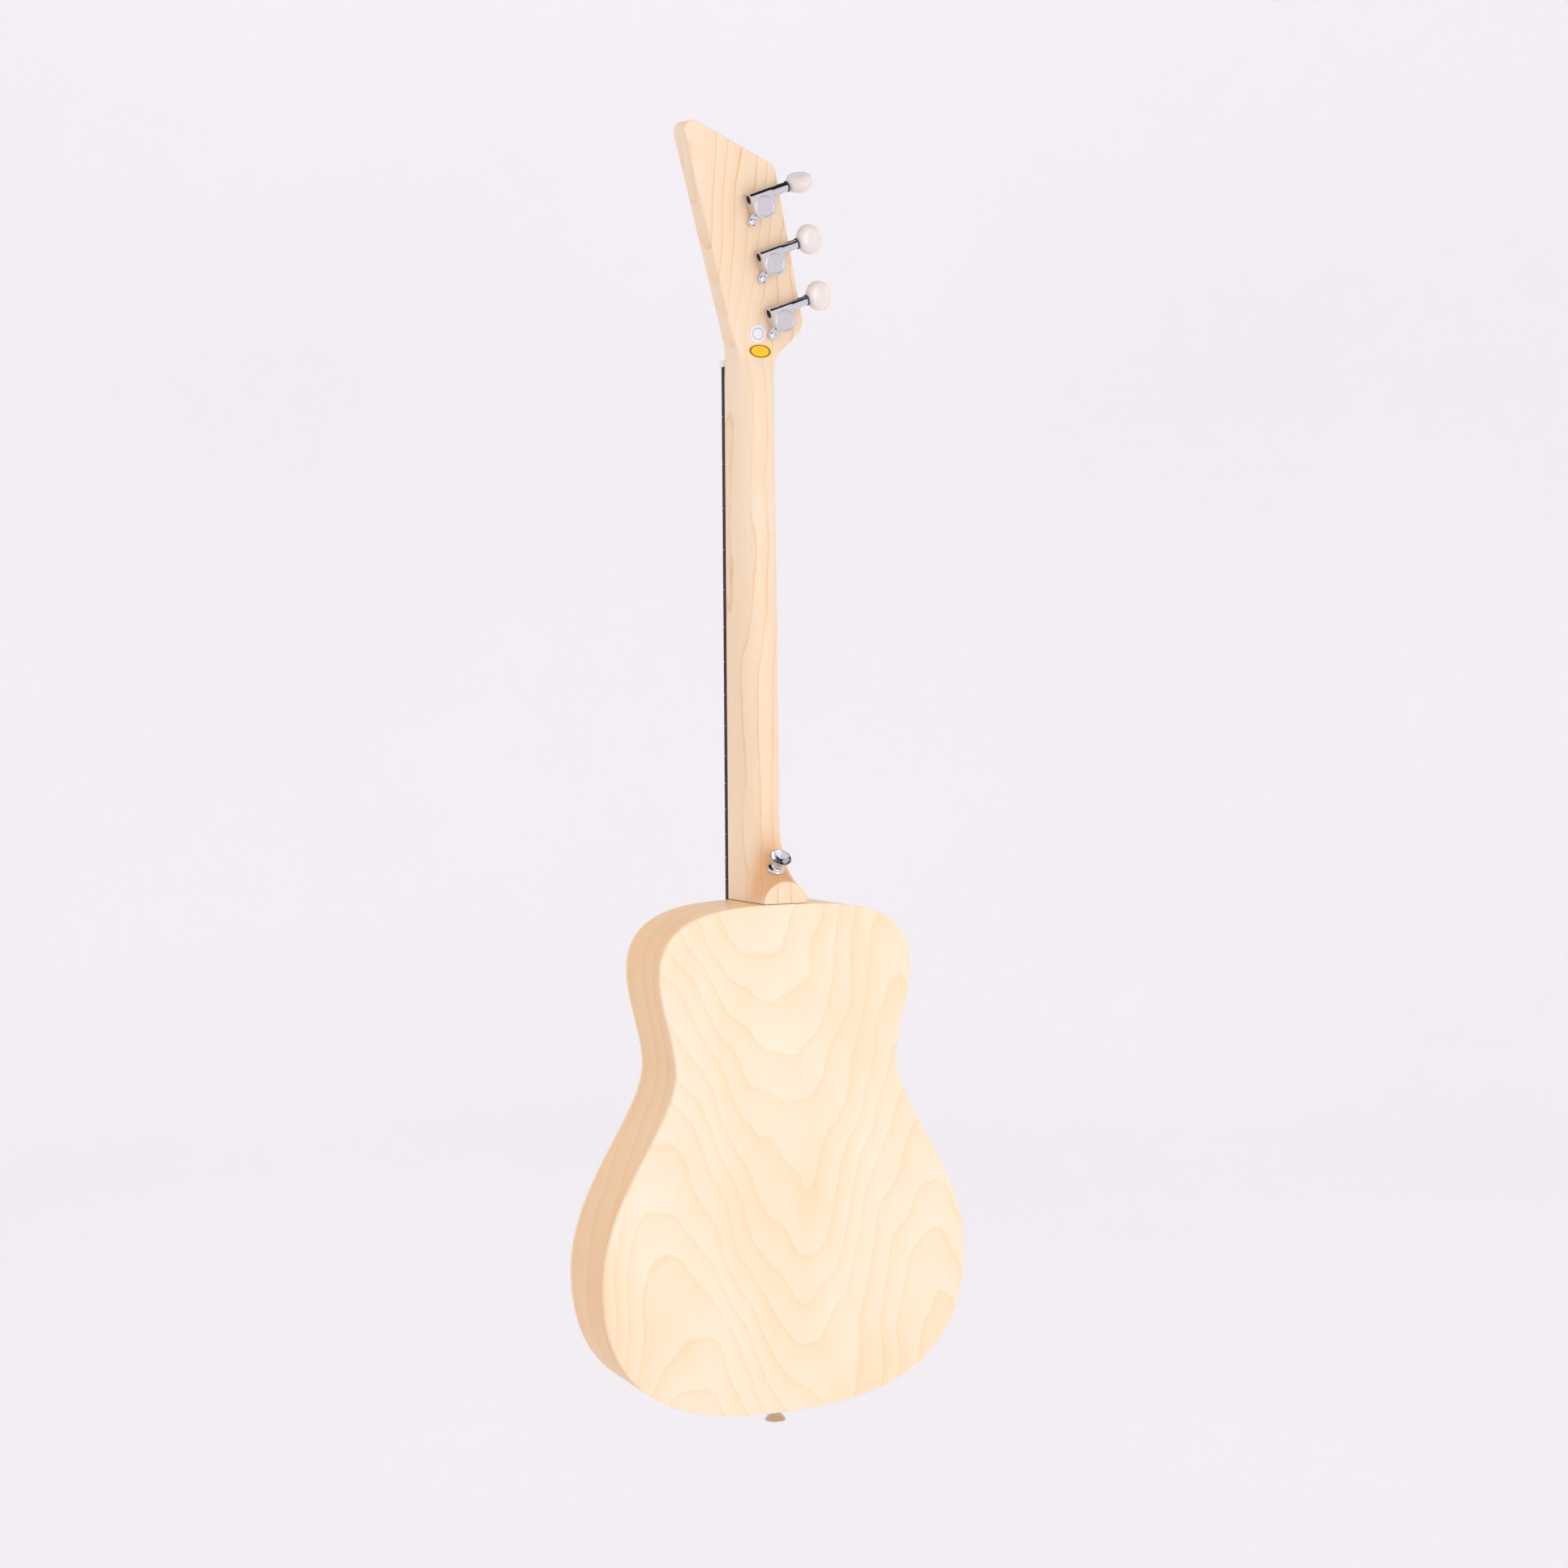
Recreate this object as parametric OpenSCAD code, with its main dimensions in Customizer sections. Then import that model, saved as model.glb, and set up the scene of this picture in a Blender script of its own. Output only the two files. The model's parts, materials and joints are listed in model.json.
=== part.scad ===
// Small three-string steel-string guitar, drawn upright as it hangs by its neck.
// +Z runs up the neck, -Y is the soundboard side and +Y is the back. The origin is
// the seat of the end button on the tail of the body. Inside the modules, depth is
// counted from the outer face of the soundboard, and place() shifts it to the origin.
// +X is the treble side and -X the bass side, where the tuner knobs are.

/* [Body] */
// Length of the body along its centreline
body_length = 296; // [290:1:302]
// Width of the lower bout
lower_bout = 234; // [228:1:240]
// Width of the waist
waist = 142; // [138:1:148]
// Width of the upper bout
upper_bout = 161.5; // [156:0.5:166]
// Depth of the body over both plates
body_depth = 52; // [50:0.5:56]
// Thickness of the soundboard
top_t = 2.6; // [2.4:0.1:3]
// Thickness of the back plate
back_t = 2.5; // [2.2:0.1:3]
// Thickness of the bent sides
side_t = 2.2; // [2:0.1:2.6]
// Diameter of the sound hole
sound_hole_d = 68; // [60:1:70]
// Depth of the end button behind the soundboard
button_depth = 30; // [26:1:32]

/* [Neck] */
// String length from nut to saddle
scale_length = 525; // [521:1:529]
// Height of the saddle above the tail
saddle_z = 87; // [86:0.5:88]
// Width of the neck and fingerboard
neck_w = 28; // [27.5:0.1:29]
// Depth of the neck wood at the nut
neck_depth_nut = 21; // [20:0.5:22]
// Depth of the neck wood where the heel begins to sweep back
neck_depth_heel = 26; // [25:0.5:27]
// Thickness of the fingerboard
board_t = 4.5; // [4:0.1:5]
// Number of frets
fret_count = 18; // [16:1:18]

/* [Headstock] */
// Backward tilt of the headstock in degrees
head_tilt = 8.5; // [8:0.1:9]
// Thickness of the headstock
head_t = 16; // [15.5:0.1:16.5]

/* [Tuners] */
// Distance between neighbouring string posts
post_pitch = 33; // [32:0.5:34]
// Slope of the line of posts from the centreline in degrees
post_slope = 15; // [14.5:0.1:15.5]
// Slope of the knob shafts above square to the centreline in degrees
shaft_slope = 22; // [21:0.5:23]
// Turn of each knob about its shaft in degrees
knob_turn = [70, 0, 0]; // [0:5:180]

/* [Strings] */
// Spacing of the strings at the nut
nut_spacing = 8.6; // [8:0.1:8.8]
// Spacing of the strings at the saddle
saddle_spacing = 11.5; // [11:0.1:12]
// String radii, from treble to bass
string_r = [0.17, 0.23, 0.34]; // [0.1:0.01:0.4]

/* [Hidden] */
$fn = 48;
STRINGS = [1:3];

maple = [0.95, 0.85, 0.68];
side_maple = [0.86, 0.72, 0.54];
spruce = [0.93, 0.83, 0.62];
rosewood = [0.22, 0.12, 0.09];
steel = [0.78, 0.78, 0.8];
chrome = [0.85, 0.85, 0.88];
brass = [0.8, 0.65, 0.3];
bone = [0.95, 0.94, 0.9];

// Small amount by which a cutting shape stands past the face it cuts
cut = 1;

// Body outline: heights of the widest and narrowest places, and how far each
// curve's handles reach along its own width or height
lower_z = 0.2855 * body_length;
waist_z = 0.684 * body_length;
upper_z = 0.87 * body_length;
tail_reach = 0.433;
lower_reach = [0.913, 0.418];
waist_reach = [0.248, 0.289];
upper_reach = [0.317, 1];
shoulder_reach = 0.436;
curve_steps = 14;

body_inside_y = body_depth - back_t;
sound_hole_z = 0.6926 * body_length;
rosette_r = [sound_hole_d / 2 + 4, sound_hole_d / 2 + 7];
rosette_t = 0.8;
lining_w = 5;
lining_h = 9;
neck_block_w = 56;
neck_block_l = 40;
neck_block_z = body_length - side_t - neck_block_l;
tail_block_w = 50;
tail_block_top_z = side_t + 14;

// Braces under the soundboard and on the back
brace_w = 7;
brace_h = 10;
brace_tip_h = 2.5;
brace_tip_l = 22;
x_cross_z = 146;
x_angle = 43;
x_length = 236;
transverse_z = 246;
transverse_h = 9;
tone_bar_z = 42;
tone_bar_l = 120;
tone_bar_h = 7;
tone_bar_angle = 8;
back_brace_zs = [62, 142, 222];
back_brace_h = 12;
bridge_plate_t = 2.2;
bridge_plate_w = 72;
bridge_plate_z = [64, 98];

// Neck and heel
nut_z = saddle_z + scale_length;
nut_l = 4;
head_z = nut_z + nut_l;
heel_gap = 0.3;
heel_z = body_length + heel_gap;
heel_cap_y = 50;
sweep_r = 39.5;
sweep_z = heel_z + 48.7;
section_power = 2.5;
section_steps = 24;
cap_steps = 6;
sweep_steps = 8;
throat_z = nut_z - 10;
throat_l = 28;
throat_slope = 0.15;
front_cut_w = 200;
front_cut_l = 180;
cap_angle = acos(1 - (heel_cap_y - neck_depth_heel) / sweep_r);
cap_top_z = sweep_z - sweep_r * sin(cap_angle);
cap_h = cap_top_z - heel_z;
widest_cap = 0.985;

// Fingerboard and frets
board_end_z = 264;
fret_h = 1;
tang_w = 0.5;
tang_h = 1.6;
dot_frets = [3, 5, 7, 9, 15];
octave_fret = 12;
dot_r = 2.2;
dot_t = 1;
octave_dot_x = 6;

// Truss rod in its channel, and the neck bolts below it
rod_y = 7.5;
rod_r = 2;
rod_bar = [6, 3];
rod_sink = 0.4;
rod_block_h = 7.4;
rod_block_l = 12;
channel_w = 6.2;
channel_h = 10.6;
rod_top_z = nut_z - 14;
rod_nut_r = 3.3;
rod_nut_z = [276, 292];
rod_start_z = 285;
rod_nut_bore_z = 284.5;
rod_key_l = 7;
rod_key_r = 2.3;
rod_passage_r = 3.8;
bolt_ys = [19, 40];
bolt_r = 3;
bolt_gap = 0.2;
bolt_flange_r = 6.5;
bolt_flange_t = 1.5;
bolt_head_r = 5;
bolt_head_h = 5;
bolt_socket_r = 2.9;
bolt_socket_h = 3;
insert_r = 4.8;
insert_l = 10;

// Nut, bridge and saddle
string_lift = 0.4;
nut_overhang = 0.4;
nut_rise = 2.2;
nut_slot_gap = 0.03;
action_rise = 3.6;
bridge_t = 7;
bridge_w = 84;
bridge_z = [70, 96];
bridge_wing_t = 3.5;
bridge_wing_x = 26;
bridge_ramp_l = 6;
saddle_w = 46;
saddle_l = 2.4;
saddle_seat_y = -4;
pin_z = 77;
pin_r = 2.5;
pin_tip_r = 2.1;
pin_head_r = 3.3;
pin_l = 19;
string_slot_w = 1.5;
string_hole_z = pin_z + pin_r + 0.85;
string_slot_end_z = string_hole_z + 0.9;
ball_r = 2;
ball_l = 3.4;

// Strap buttons, as radius and height pairs of their turned outline
button_outline = [
    [1.9, 0], [5.1, 0], [5.1, 1.5], [4.7, 2.1], [3.4, 3.1], [3.2, 4.6], [4.2, 7.2],
    [6.2, 9.7], [6.55, 10.2], [6.45, 10.5], [6.1, 10.5], [2.9, 5.6], [2.9, 4.4], [1.9, 4.4]
];
button_screw_r = 1.75;
button_screw_l = 18;
button_screw_start = -16;
button_screw_head = [[0, 0], [2.7, 0], [2.4, 0.9], [1.5, 1.5], [0, 1.7]];
button_screw_head_h = 1.7;
button_seat_h = 4.4;
heel_button_x = 1.5;
heel_button_angle = 48;
heel_button_sink = 0.5;
heel_seat_r = 5.2;
heel_seat_h = 3;

// Two labels on the back of the headstock
label_t = 0.15;
round_label_at = [0.6, 16];
round_label_r = 5;
oval_label_at = [-1, 6];
oval_label_half = [7.5, 4];

// Tuners, in a frame whose +X runs along the knob shaft and whose +Z points out
// of the back of the headstock
post_near_x = -12;
post_near_s = 24.6;
housing_r = 7;
housing_top_v = 9.3;
housing_h = 9.8;
housing_round = 2.5;
housing_floor = 2.4;
cavity_r = 5.4;
cover_r = 6.1;
cover_z = 8.6;
shaft_v = 6;
shaft_h = 5.4;
worm_bore_r = 2.5;
worm_bore_end = 5;
shaft_r = 1.5;
run_gap = 0.05;
snug_gap = 0.02;
sleeve_r = [3.2, 2.8];
sleeve_end = 18.5;
// Radius and thickness of the dark washer between sleeve and knob
shaft_washer = [3.25, 0.7];
lug_at = [-7, -7];
lug_r = 2.6;
lug_t = 2.2;
lug_arm_l = 6;
lug_screw_r = 1.25;
lug_screw_l = 8;
lug_screw_head = [[0, 0], [2.2, 0], [2.1, 0.6], [1.5, 1.1], [0, 1.2]];
lug_screw_head_h = 1.2;
cover_groove_r = [5.45, 5.75];
cover_groove_t = 0.3;
gear_teeth = 14;
gear_pitch_r = 4.2;
gear_t = 2.2;
gear_tip_r = 4.7;
gear_root_r = 3.6;
// Corners of one gear tooth, as radius and angle pairs
gear_tooth = [[gear_root_r, -8.7], [gear_tip_r, -2.6], [gear_tip_r, 2.6], [gear_root_r, 8.7]];
worm_lead = 2 * PI * gear_pitch_r / gear_teeth;
worm_l = 6;
worm_tip_r = 2.3;
worm_root_r = 1.15;
worm_tip_half = 42;
worm_root_half = 115;
// Angles round the worm's section, close together on its flanks
worm_angles = [-180, -140, -115, -90, -66, -42, -14, 14, 42, 66, 90, 115, 140];
worm_core_r = 1.07;
land_l = 1.2;
screw_thread_r = 0.95;
shaft_thread_l = 6;
post_r = 3;
post_waist_r = 2.6;
post_stub_r = 1.5;
post_h = 12;
post_hole_h = 9.3;
post_hole_r = 0.7;
post_ease = 0.5;
waist_h = [6, 10.5];
bushing_r = 4.4;
bushing_l = 14.5;
bushing_hex_r = 5.2;
bushing_hex_h = 3.2;
washer_r = 6.2;
washer_t = 1;
head_hole_r = 4.5;
string_end_h = 6.6;
winding_turns = 4;
knob_start = 19.4;
knob_half = [7.75, 8.75];
knob_levels = [[4.4, 0.5], [3.6, 0.8], [2, 0.97], [0, 1]];
knob_skin = 0.2;
knob_collar_r = 2.9;
knob_collar_l = 2.2;
shaft_in_knob = 11;
knob_screw_z = knob_start + 2 * knob_half[0] - 1.2;
knob_screw_grip = 5;
knob_screw_head = [[0, 0], [1.9, 0], [1.9, 0.5], [1.3, 1.1], [0, 1.3]];
knob_screw_head_h = 1.3;
knob_recess_r = 2.1;

// ---------- placing ----------

module place() translate([0, -button_depth, 0]) children();

// Extrudes a drawing in X and Z from depth y backwards by t
module slab(y, t) translate([0, y + t, 0]) rotate([90, 0, 0]) linear_extrude(t) children();

module rod_along_y(x, z, r, from, to) {
    translate([x, to, z]) rotate([90, 0, 0]) cylinder(h = to - from, r = r);
}

module rod_along_z(x, y, r, from, to) {
    translate([x, y, from]) cylinder(h = to - from, r = r);
}

// Headstock frame: +Z up the headstock, Y from its front face to its back face
module head_frame() translate([0, 0, head_z]) rotate([-head_tilt, 0, 0]) children();

function post_x(i) = post_near_x + (3 - i) * post_pitch * sin(post_slope);
function post_s(i) = post_near_s + (3 - i) * post_pitch * cos(post_slope);

module tuner_frame(i) {
    head_frame() translate([post_x(i), head_t, post_s(i)])
        rotate([0, 180 + shaft_slope, 0]) rotate([-90, 0, 0]) children();
}

// Frame of a knob shaft: +Z runs out towards the knob, the gear is towards -Y
module shaft_frame(i) {
    tuner_frame(i) translate([0, shaft_v, shaft_h]) rotate([0, 90, 0]) children();
}

// Frame of a string post: +Z points forwards, from the front face of the headstock
module post_frame(i) tuner_frame(i) translate([0, 0, -head_t]) rotate([180, 0, 0]) children();

// Frames of the two strap buttons, with +Z along the button
module tail_button_frame() translate([0, button_depth, 0]) rotate([180, 0, 0]) children();

module heel_button_frame() {
    y = neck_depth_heel + sweep_r * (1 - cos(heel_button_angle));
    z = sweep_z - sweep_r * sin(heel_button_angle);
    translate([heel_button_x, y, z]) rotate([heel_button_angle - 90, 0, 0])
        translate([0, 0, -heel_button_sink]) children();
}

// ---------- body outline ----------

function side_curves() = let (
    w1 = lower_bout / 2,
    w2 = waist / 2,
    w3 = upper_bout / 2,
    rise = waist_z - lower_z,
    up = upper_z - waist_z
) [
    [[0, 0], [tail_reach * w1, 0], [w1, lower_z * (1 - lower_reach[0])], [w1, lower_z]],
    [
        [w1, lower_z],
        [w1, lower_z + lower_reach[1] * rise],
        [w2, waist_z - waist_reach[0] * rise],
        [w2, waist_z]
    ],
    [
        [w2, waist_z],
        [w2, waist_z + waist_reach[1] * up],
        [w3, upper_z - upper_reach[0] * up],
        [w3, upper_z]
    ],
    [
        [w3, upper_z],
        [w3, upper_z + upper_reach[1] * (body_length - upper_z)],
        [shoulder_reach * w3, body_length],
        [0, body_length]
    ]
];

function bezier(p, t) = pow(1 - t, 3) * p[0] + 3 * t * pow(1 - t, 2) * p[1]
    + 3 * t * t * (1 - t) * p[2] + pow(t, 3) * p[3];

// A point of curve p, moved inwards by inset
function inset_point(p, t, inset) = let (
    run = pow(1 - t, 2) * (p[1] - p[0]) + 2 * t * (1 - t) * (p[2] - p[1]) + t * t * (p[3] - p[2]),
    outward = [run[1], -run[0]] / norm(run)
) bezier(p, t) - inset * outward;

function half_outline(inset) = concat(
    [for (p = side_curves()) for (i = [0:curve_steps - 1]) inset_point(p, i / curve_steps, inset)],
    [[0, body_length - inset]]
);

function reversed(list) = [for (i = [len(list) - 1:-1:0]) list[i]];

function whole_outline(inset) = let (half = half_outline(inset)) concat(
    half,
    [for (i = [len(half) - 2:-1:1]) [-half[i][0], half[i][1]]]
);

module half_ring(outer, inner) polygon(concat(half_outline(outer), reversed(half_outline(inner))));

// Keeps what lies inside the body, a given distance in from its outline
module inside_body(inset) {
    intersection() {
        children();
        slab(0, body_depth) polygon(whole_outline(inset));
    }
}

// ---------- body ----------

module pin_holes() {
    for (i = STRINGS) {
        x = (2 - i) * saddle_spacing;
        rod_along_y(x, pin_z, pin_r + run_gap, -bridge_t - cut, body_depth / 2);
        translate([x - string_slot_w / 2, -bridge_t - cut, pin_z])
            cube([string_slot_w, body_depth / 2, string_slot_end_z - pin_z]);
    }
}

module soundboard() {
    color(spruce) place() difference() {
        slab(0, top_t) polygon(whole_outline(0));
        rod_along_y(0, sound_hole_z, sound_hole_d / 2, -cut, top_t + cut);
        difference() {
            rod_along_y(0, sound_hole_z, rosette_r[1], -cut, rosette_t);
            rod_along_y(0, sound_hole_z, rosette_r[0], -2 * cut, rosette_t + cut);
        }
        pin_holes();
    }
}

module rosette() {
    color(rosewood) place() difference() {
        rod_along_y(0, sound_hole_z, rosette_r[1], 0, rosette_t);
        rod_along_y(0, sound_hole_z, rosette_r[0], -cut, rosette_t + cut);
    }
}

module back_plate() color(maple) place() slab(body_inside_y, back_t) polygon(whole_outline(0));

module neck_bolt_holes(r) {
    for (y = bolt_ys) rod_along_z(0, y, r, neck_block_z - cut, heel_z + insert_l);
}

module side() {
    difference() {
        slab(top_t, body_inside_y - top_t) half_ring(0, side_t);
        neck_bolt_holes(bolt_r + bolt_gap);
        rod_along_z(0, rod_y, rod_passage_r, body_length - side_t - cut, body_length + cut);
        rod_along_z(0, button_depth, button_screw_r + run_gap, -cut, side_t + cut);
    }
}

module side_treble() color(side_maple) place() side();

module side_bass() color(side_maple) place() mirror([1, 0, 0]) side();

module block_box(w, z, l) translate([-w / 2, top_t, z]) cube([w, body_inside_y - top_t, l]);

module neck_block() {
    color(spruce) place() difference() {
        inside_body(side_t) block_box(neck_block_w, neck_block_z, neck_block_l + side_t);
        neck_bolt_holes(bolt_r + bolt_gap);
        rod_along_z(0, rod_y, rod_passage_r, neck_block_z - cut, body_length);
    }
}

module tail_block() {
    color(spruce) place() difference() {
        inside_body(side_t) block_box(tail_block_w, 0, tail_block_top_z);
        rod_along_z(0, button_depth, button_screw_r + run_gap, -cut, button_screw_l + cut);
    }
}

module linings(y) {
    difference() {
        slab(y, lining_h) union() {
            half_ring(side_t, side_t + lining_w);
            mirror([1, 0]) half_ring(side_t, side_t + lining_w);
        }
        translate([-neck_block_w / 2, 0, neck_block_z]) cube([neck_block_w, body_depth, body_length]);
        translate([-tail_block_w / 2, 0, tail_block_top_z - body_length])
            cube([tail_block_w, body_depth, body_length]);
    }
}

module top_linings() color(spruce) place() linings(top_t);

module back_linings() color(spruce) place() linings(body_inside_y - lining_h);

// A straight brace along X with tapered tips, standing on the plane y = 0
module brace(length, height) {
    half = length / 2;
    translate([0, 0, -brace_w / 2]) linear_extrude(brace_w) polygon([
        [-half, 0], [half, 0], [half, brace_tip_h], [half - brace_tip_l, height],
        [brace_tip_l - half, height], [-half, brace_tip_h]
    ]);
}

module x_brace(lean, notch_y) {
    inside_body(side_t + lining_w) translate([0, top_t, x_cross_z]) difference() {
        rotate([0, lean, 0]) brace(x_length, brace_h);
        rotate([0, -lean, 0]) translate([-x_length / 2, notch_y, -brace_w / 2])
            cube([x_length, brace_h / 2 + cut, brace_w]);
    }
}

module x_brace_bass() color(spruce) place() x_brace(90 - x_angle, brace_h / 2);

module x_brace_treble() color(spruce) place() x_brace(x_angle - 90, -cut);

module top_cross_braces() {
    color(spruce) place() {
        inside_body(side_t + lining_w) translate([0, top_t, transverse_z])
            brace(upper_bout, transverse_h);
        translate([0, top_t, tone_bar_z]) rotate([0, tone_bar_angle, 0])
            brace(tone_bar_l, tone_bar_h);
    }
}

module bridge_plate() {
    color(maple) place() difference() {
        translate([-bridge_plate_w / 2, top_t, bridge_plate_z[0]])
            cube([bridge_plate_w, bridge_plate_t, bridge_plate_z[1] - bridge_plate_z[0]]);
        pin_holes();
    }
}

module back_braces() {
    color(spruce) place() for (z = back_brace_zs) {
        inside_body(side_t + lining_w) translate([0, body_inside_y, z])
            mirror([0, 1, 0]) brace(lower_bout, back_brace_h);
    }
}

// ---------- neck ----------

// Depth of the neck's ridge at height z, which runs on past the heel cap's face
function ridge_y(z) = z >= throat_z ? neck_depth_nut - throat_slope * (z - throat_z)
    : z >= sweep_z ? neck_depth_heel
        + (neck_depth_nut - neck_depth_heel) * (z - sweep_z) / (throat_z - sweep_z)
    : z >= cap_top_z ? neck_depth_heel + sweep_r - sqrt(pow(sweep_r, 2) - pow(sweep_z - z, 2))
    : let (cap = min(widest_cap, sqrt(1 - pow((z - heel_z) / cap_h, 2))))
        heel_cap_y / pow(1 - pow(cap, section_power), 1 / section_power);

// Depth of the blank's front at height z: it leans back with the headstock
function front_y(z) = max(0, z - head_z) * tan(head_tilt) - cut;

function section(z, grow) = let (
    half = neck_w / 2 + grow,
    front = front_y(z),
    back = ridge_y(z) + grow
) [for (i = [0:section_steps]) let (c = cos(180 * i / section_steps), s = sin(180 * i / section_steps)) [
    half * sign(c) * pow(abs(c), 2 / section_power),
    front + (back - front) * pow(s, 2 / section_power),
    z
]];

neck_heights = concat(
    [for (i = [0:cap_steps - 1]) heel_z + cap_h * sin(90 * i / cap_steps)],
    [for (i = [0:sweep_steps]) sweep_z - sweep_r * sin(cap_angle * (1 - i / sweep_steps))],
    [throat_z, head_z, throat_z + throat_l / 2, throat_z + throat_l]
);

// The carved shaft and heel, made larger all round by grow
module neck_shaft(grow) {
    n = section_steps + 1;
    rows = len(neck_heights);
    polyhedron(
        points = [for (z = neck_heights) each section(z, grow)],
        faces = concat(
            [[for (i = [0:n - 1]) i]],
            [for (k = [0:rows - 2]) for (i = [0:n - 1])
                let (j = (i + 1) % n) [k * n + i, (k + 1) * n + i, (k + 1) * n + j, k * n + j]],
            [[for (i = [n - 1:-1:0]) (rows - 1) * n + i]]
        )
    );
}

// Arc of radius r that rounds the corner b of the path a, b, c
function rounded(a, b, c, r, steps = 6) = let (
    u = (a - b) / norm(a - b),
    v = (c - b) / norm(c - b),
    half = acos(u * v) / 2,
    centre = b + (u + v) / norm(u + v) * r / sin(half),
    start = b + u * r / tan(half) - centre,
    end = b + v * r / tan(half) - centre,
    from = atan2(start[1], start[0]),
    turn = (atan2(end[1], end[0]) - from + 540) % 360 - 180
) [for (i = [0:steps]) centre + r * [cos(from + turn * i / steps), sin(from + turn * i / steps)]];

// Corners of the headstock: throat, knob side, top and treble side, with their radii
head_corners = [
    [-neck_w / 2, -0.5], [-neck_w / 2, 3.6], [-29.4, 21.9], [-4.5, 112.8],
    [57.9, 137.7], [neck_w / 2, 5], [neck_w / 2, -0.5]
];
head_radii = [0, 9, 10, 5, 6, 30, 0];

module head_outline() {
    last = len(head_corners) - 1;
    polygon(concat(
        [head_corners[0]],
        [for (i = [1:last - 1]) each
            rounded(head_corners[i - 1], head_corners[i], head_corners[i + 1], head_radii[i])],
        [head_corners[last]]
    ));
}

// All that lies in front of the fingerboard's seat and of the headstock's front face
module before_front() {
    rotate([90, 0, 90]) translate([0, 0, -front_cut_w / 2]) linear_extrude(front_cut_w) polygon([
        [0, board_end_z], [0, head_z],
        [front_cut_l * sin(head_tilt), head_z + front_cut_l * cos(head_tilt)],
        [-neck_w, head_z + front_cut_l], [-neck_w, board_end_z]
    ]);
}

// Shaft and headstock before their front is planed, made larger at the back by grow
module neck_blank(grow) {
    neck_shaft(grow);
    head_frame() slab(-cut, head_t + cut + grow) head_outline();
}

module neck() {
    color(maple) place() difference() {
        neck_blank(0);
        before_front();
        translate([-neck_w, heel_cap_y, heel_z - cut]) cube([2 * neck_w, 4 * heel_cap_y, 2 * cap_h]);
        translate([-channel_w / 2, -2 * cut, heel_z - cut])
            cube([channel_w, channel_h + 2 * cut, rod_top_z + 2 * cut - heel_z]);
        for (y = bolt_ys) rod_along_z(0, y, insert_r, heel_z - cut, heel_z + insert_l);
        heel_button_frame() translate([0, 0, -button_screw_l])
            cylinder(h = 2 * button_screw_l, r = button_screw_r + run_gap);
        for (i = STRINGS) tuner_frame(i) {
            translate([0, 0, -head_t - cut]) cylinder(h = head_t + 2 * cut, r = head_hole_r);
            translate([lug_at[0], lug_at[1], -lug_screw_l - cut])
                cylinder(h = lug_screw_l + 2 * cut, r = lug_screw_r + run_gap);
        }
        heel_button_frame() cylinder(h = heel_seat_h, r = heel_seat_r);
    }
}

function fret_z(n) = nut_z - scale_length * (1 - pow(2, -n / 12));

function dot_z(n) = (fret_z(n) + fret_z(n - 1)) / 2;

module dots(from) {
    for (n = dot_frets) rod_along_y(0, dot_z(n), dot_r, from, dot_t - board_t);
    for (x = [-octave_dot_x, octave_dot_x])
        rod_along_y(x, dot_z(octave_fret), dot_r, from, dot_t - board_t);
}

module fingerboard() {
    color(rosewood) place() difference() {
        translate([-neck_w / 2, -board_t, board_end_z]) cube([neck_w, board_t, nut_z - board_end_z]);
        for (n = [1:fret_count]) translate([-neck_w, -board_t - cut, fret_z(n) - tang_w / 2])
            cube([2 * neck_w, tang_h + cut, tang_w]);
        dots(-board_t - cut);
    }
}

module position_dots() color(bone) place() dots(-board_t);

// A fret on the plane y = 0, with its crown towards -Y and its tang towards +Y
module fret() {
    rotate([90, 0, 90]) translate([0, 0, -neck_w / 2]) linear_extrude(neck_w) {
        intersection() {
            circle(r = fret_h);
            translate([-fret_h, -fret_h]) square([fret_h, 2 * fret_h]);
        }
        translate([-tang_w, -tang_w / 2]) square([tang_h + tang_w, tang_w]);
    }
}

module frets() {
    color(steel) place() for (n = [1:fret_count]) translate([0, -board_t, fret_z(n)]) fret();
}

// Round rod on a flat bar, joined by a block at each end
module truss_rod() {
    bar_y = rod_y - rod_r - rod_bar[1] + rod_sink;
    bar_z = heel_z + 1;
    color(steel) place() union() {
        rod_along_z(0, rod_y, rod_r, rod_start_z, rod_top_z - 1);
        translate([-rod_bar[0] / 2, bar_y, bar_z]) cube([rod_bar[0], rod_bar[1], rod_top_z - bar_z]);
        for (z = [bar_z, rod_top_z - rod_block_l])
            translate([-rod_bar[0] / 2, bar_y, z]) cube([rod_bar[0], rod_block_h, rod_block_l]);
    }
}

// Adjusting nut of the truss rod, reached with a hex key through the sound hole
module truss_rod_nut() {
    color(brass) place() difference() {
        rod_along_z(0, rod_y, rod_nut_r, rod_nut_z[0], rod_nut_z[1]);
        rod_along_z(0, rod_y, rod_r + run_gap, rod_nut_bore_z, rod_nut_z[1] + cut);
        translate([0, rod_y, rod_nut_z[0] - cut]) cylinder(h = rod_key_l + cut, r = rod_key_r, $fn = 6);
    }
}

module neck_bolts() {
    head_start = neck_block_z - bolt_flange_t - bolt_head_h;
    color(steel) place() for (y = bolt_ys) difference() {
        union() {
            rod_along_z(0, y, bolt_r, neck_block_z - bolt_flange_t, heel_z + insert_l - 2);
            rod_along_z(0, y, bolt_flange_r, neck_block_z - bolt_flange_t, neck_block_z);
            rod_along_z(0, y, bolt_head_r, head_start, neck_block_z - bolt_flange_t);
        }
        translate([0, y, head_start - cut])
            cylinder(h = bolt_socket_h + cut, r = bolt_socket_r, $fn = 6);
    }
}

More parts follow.
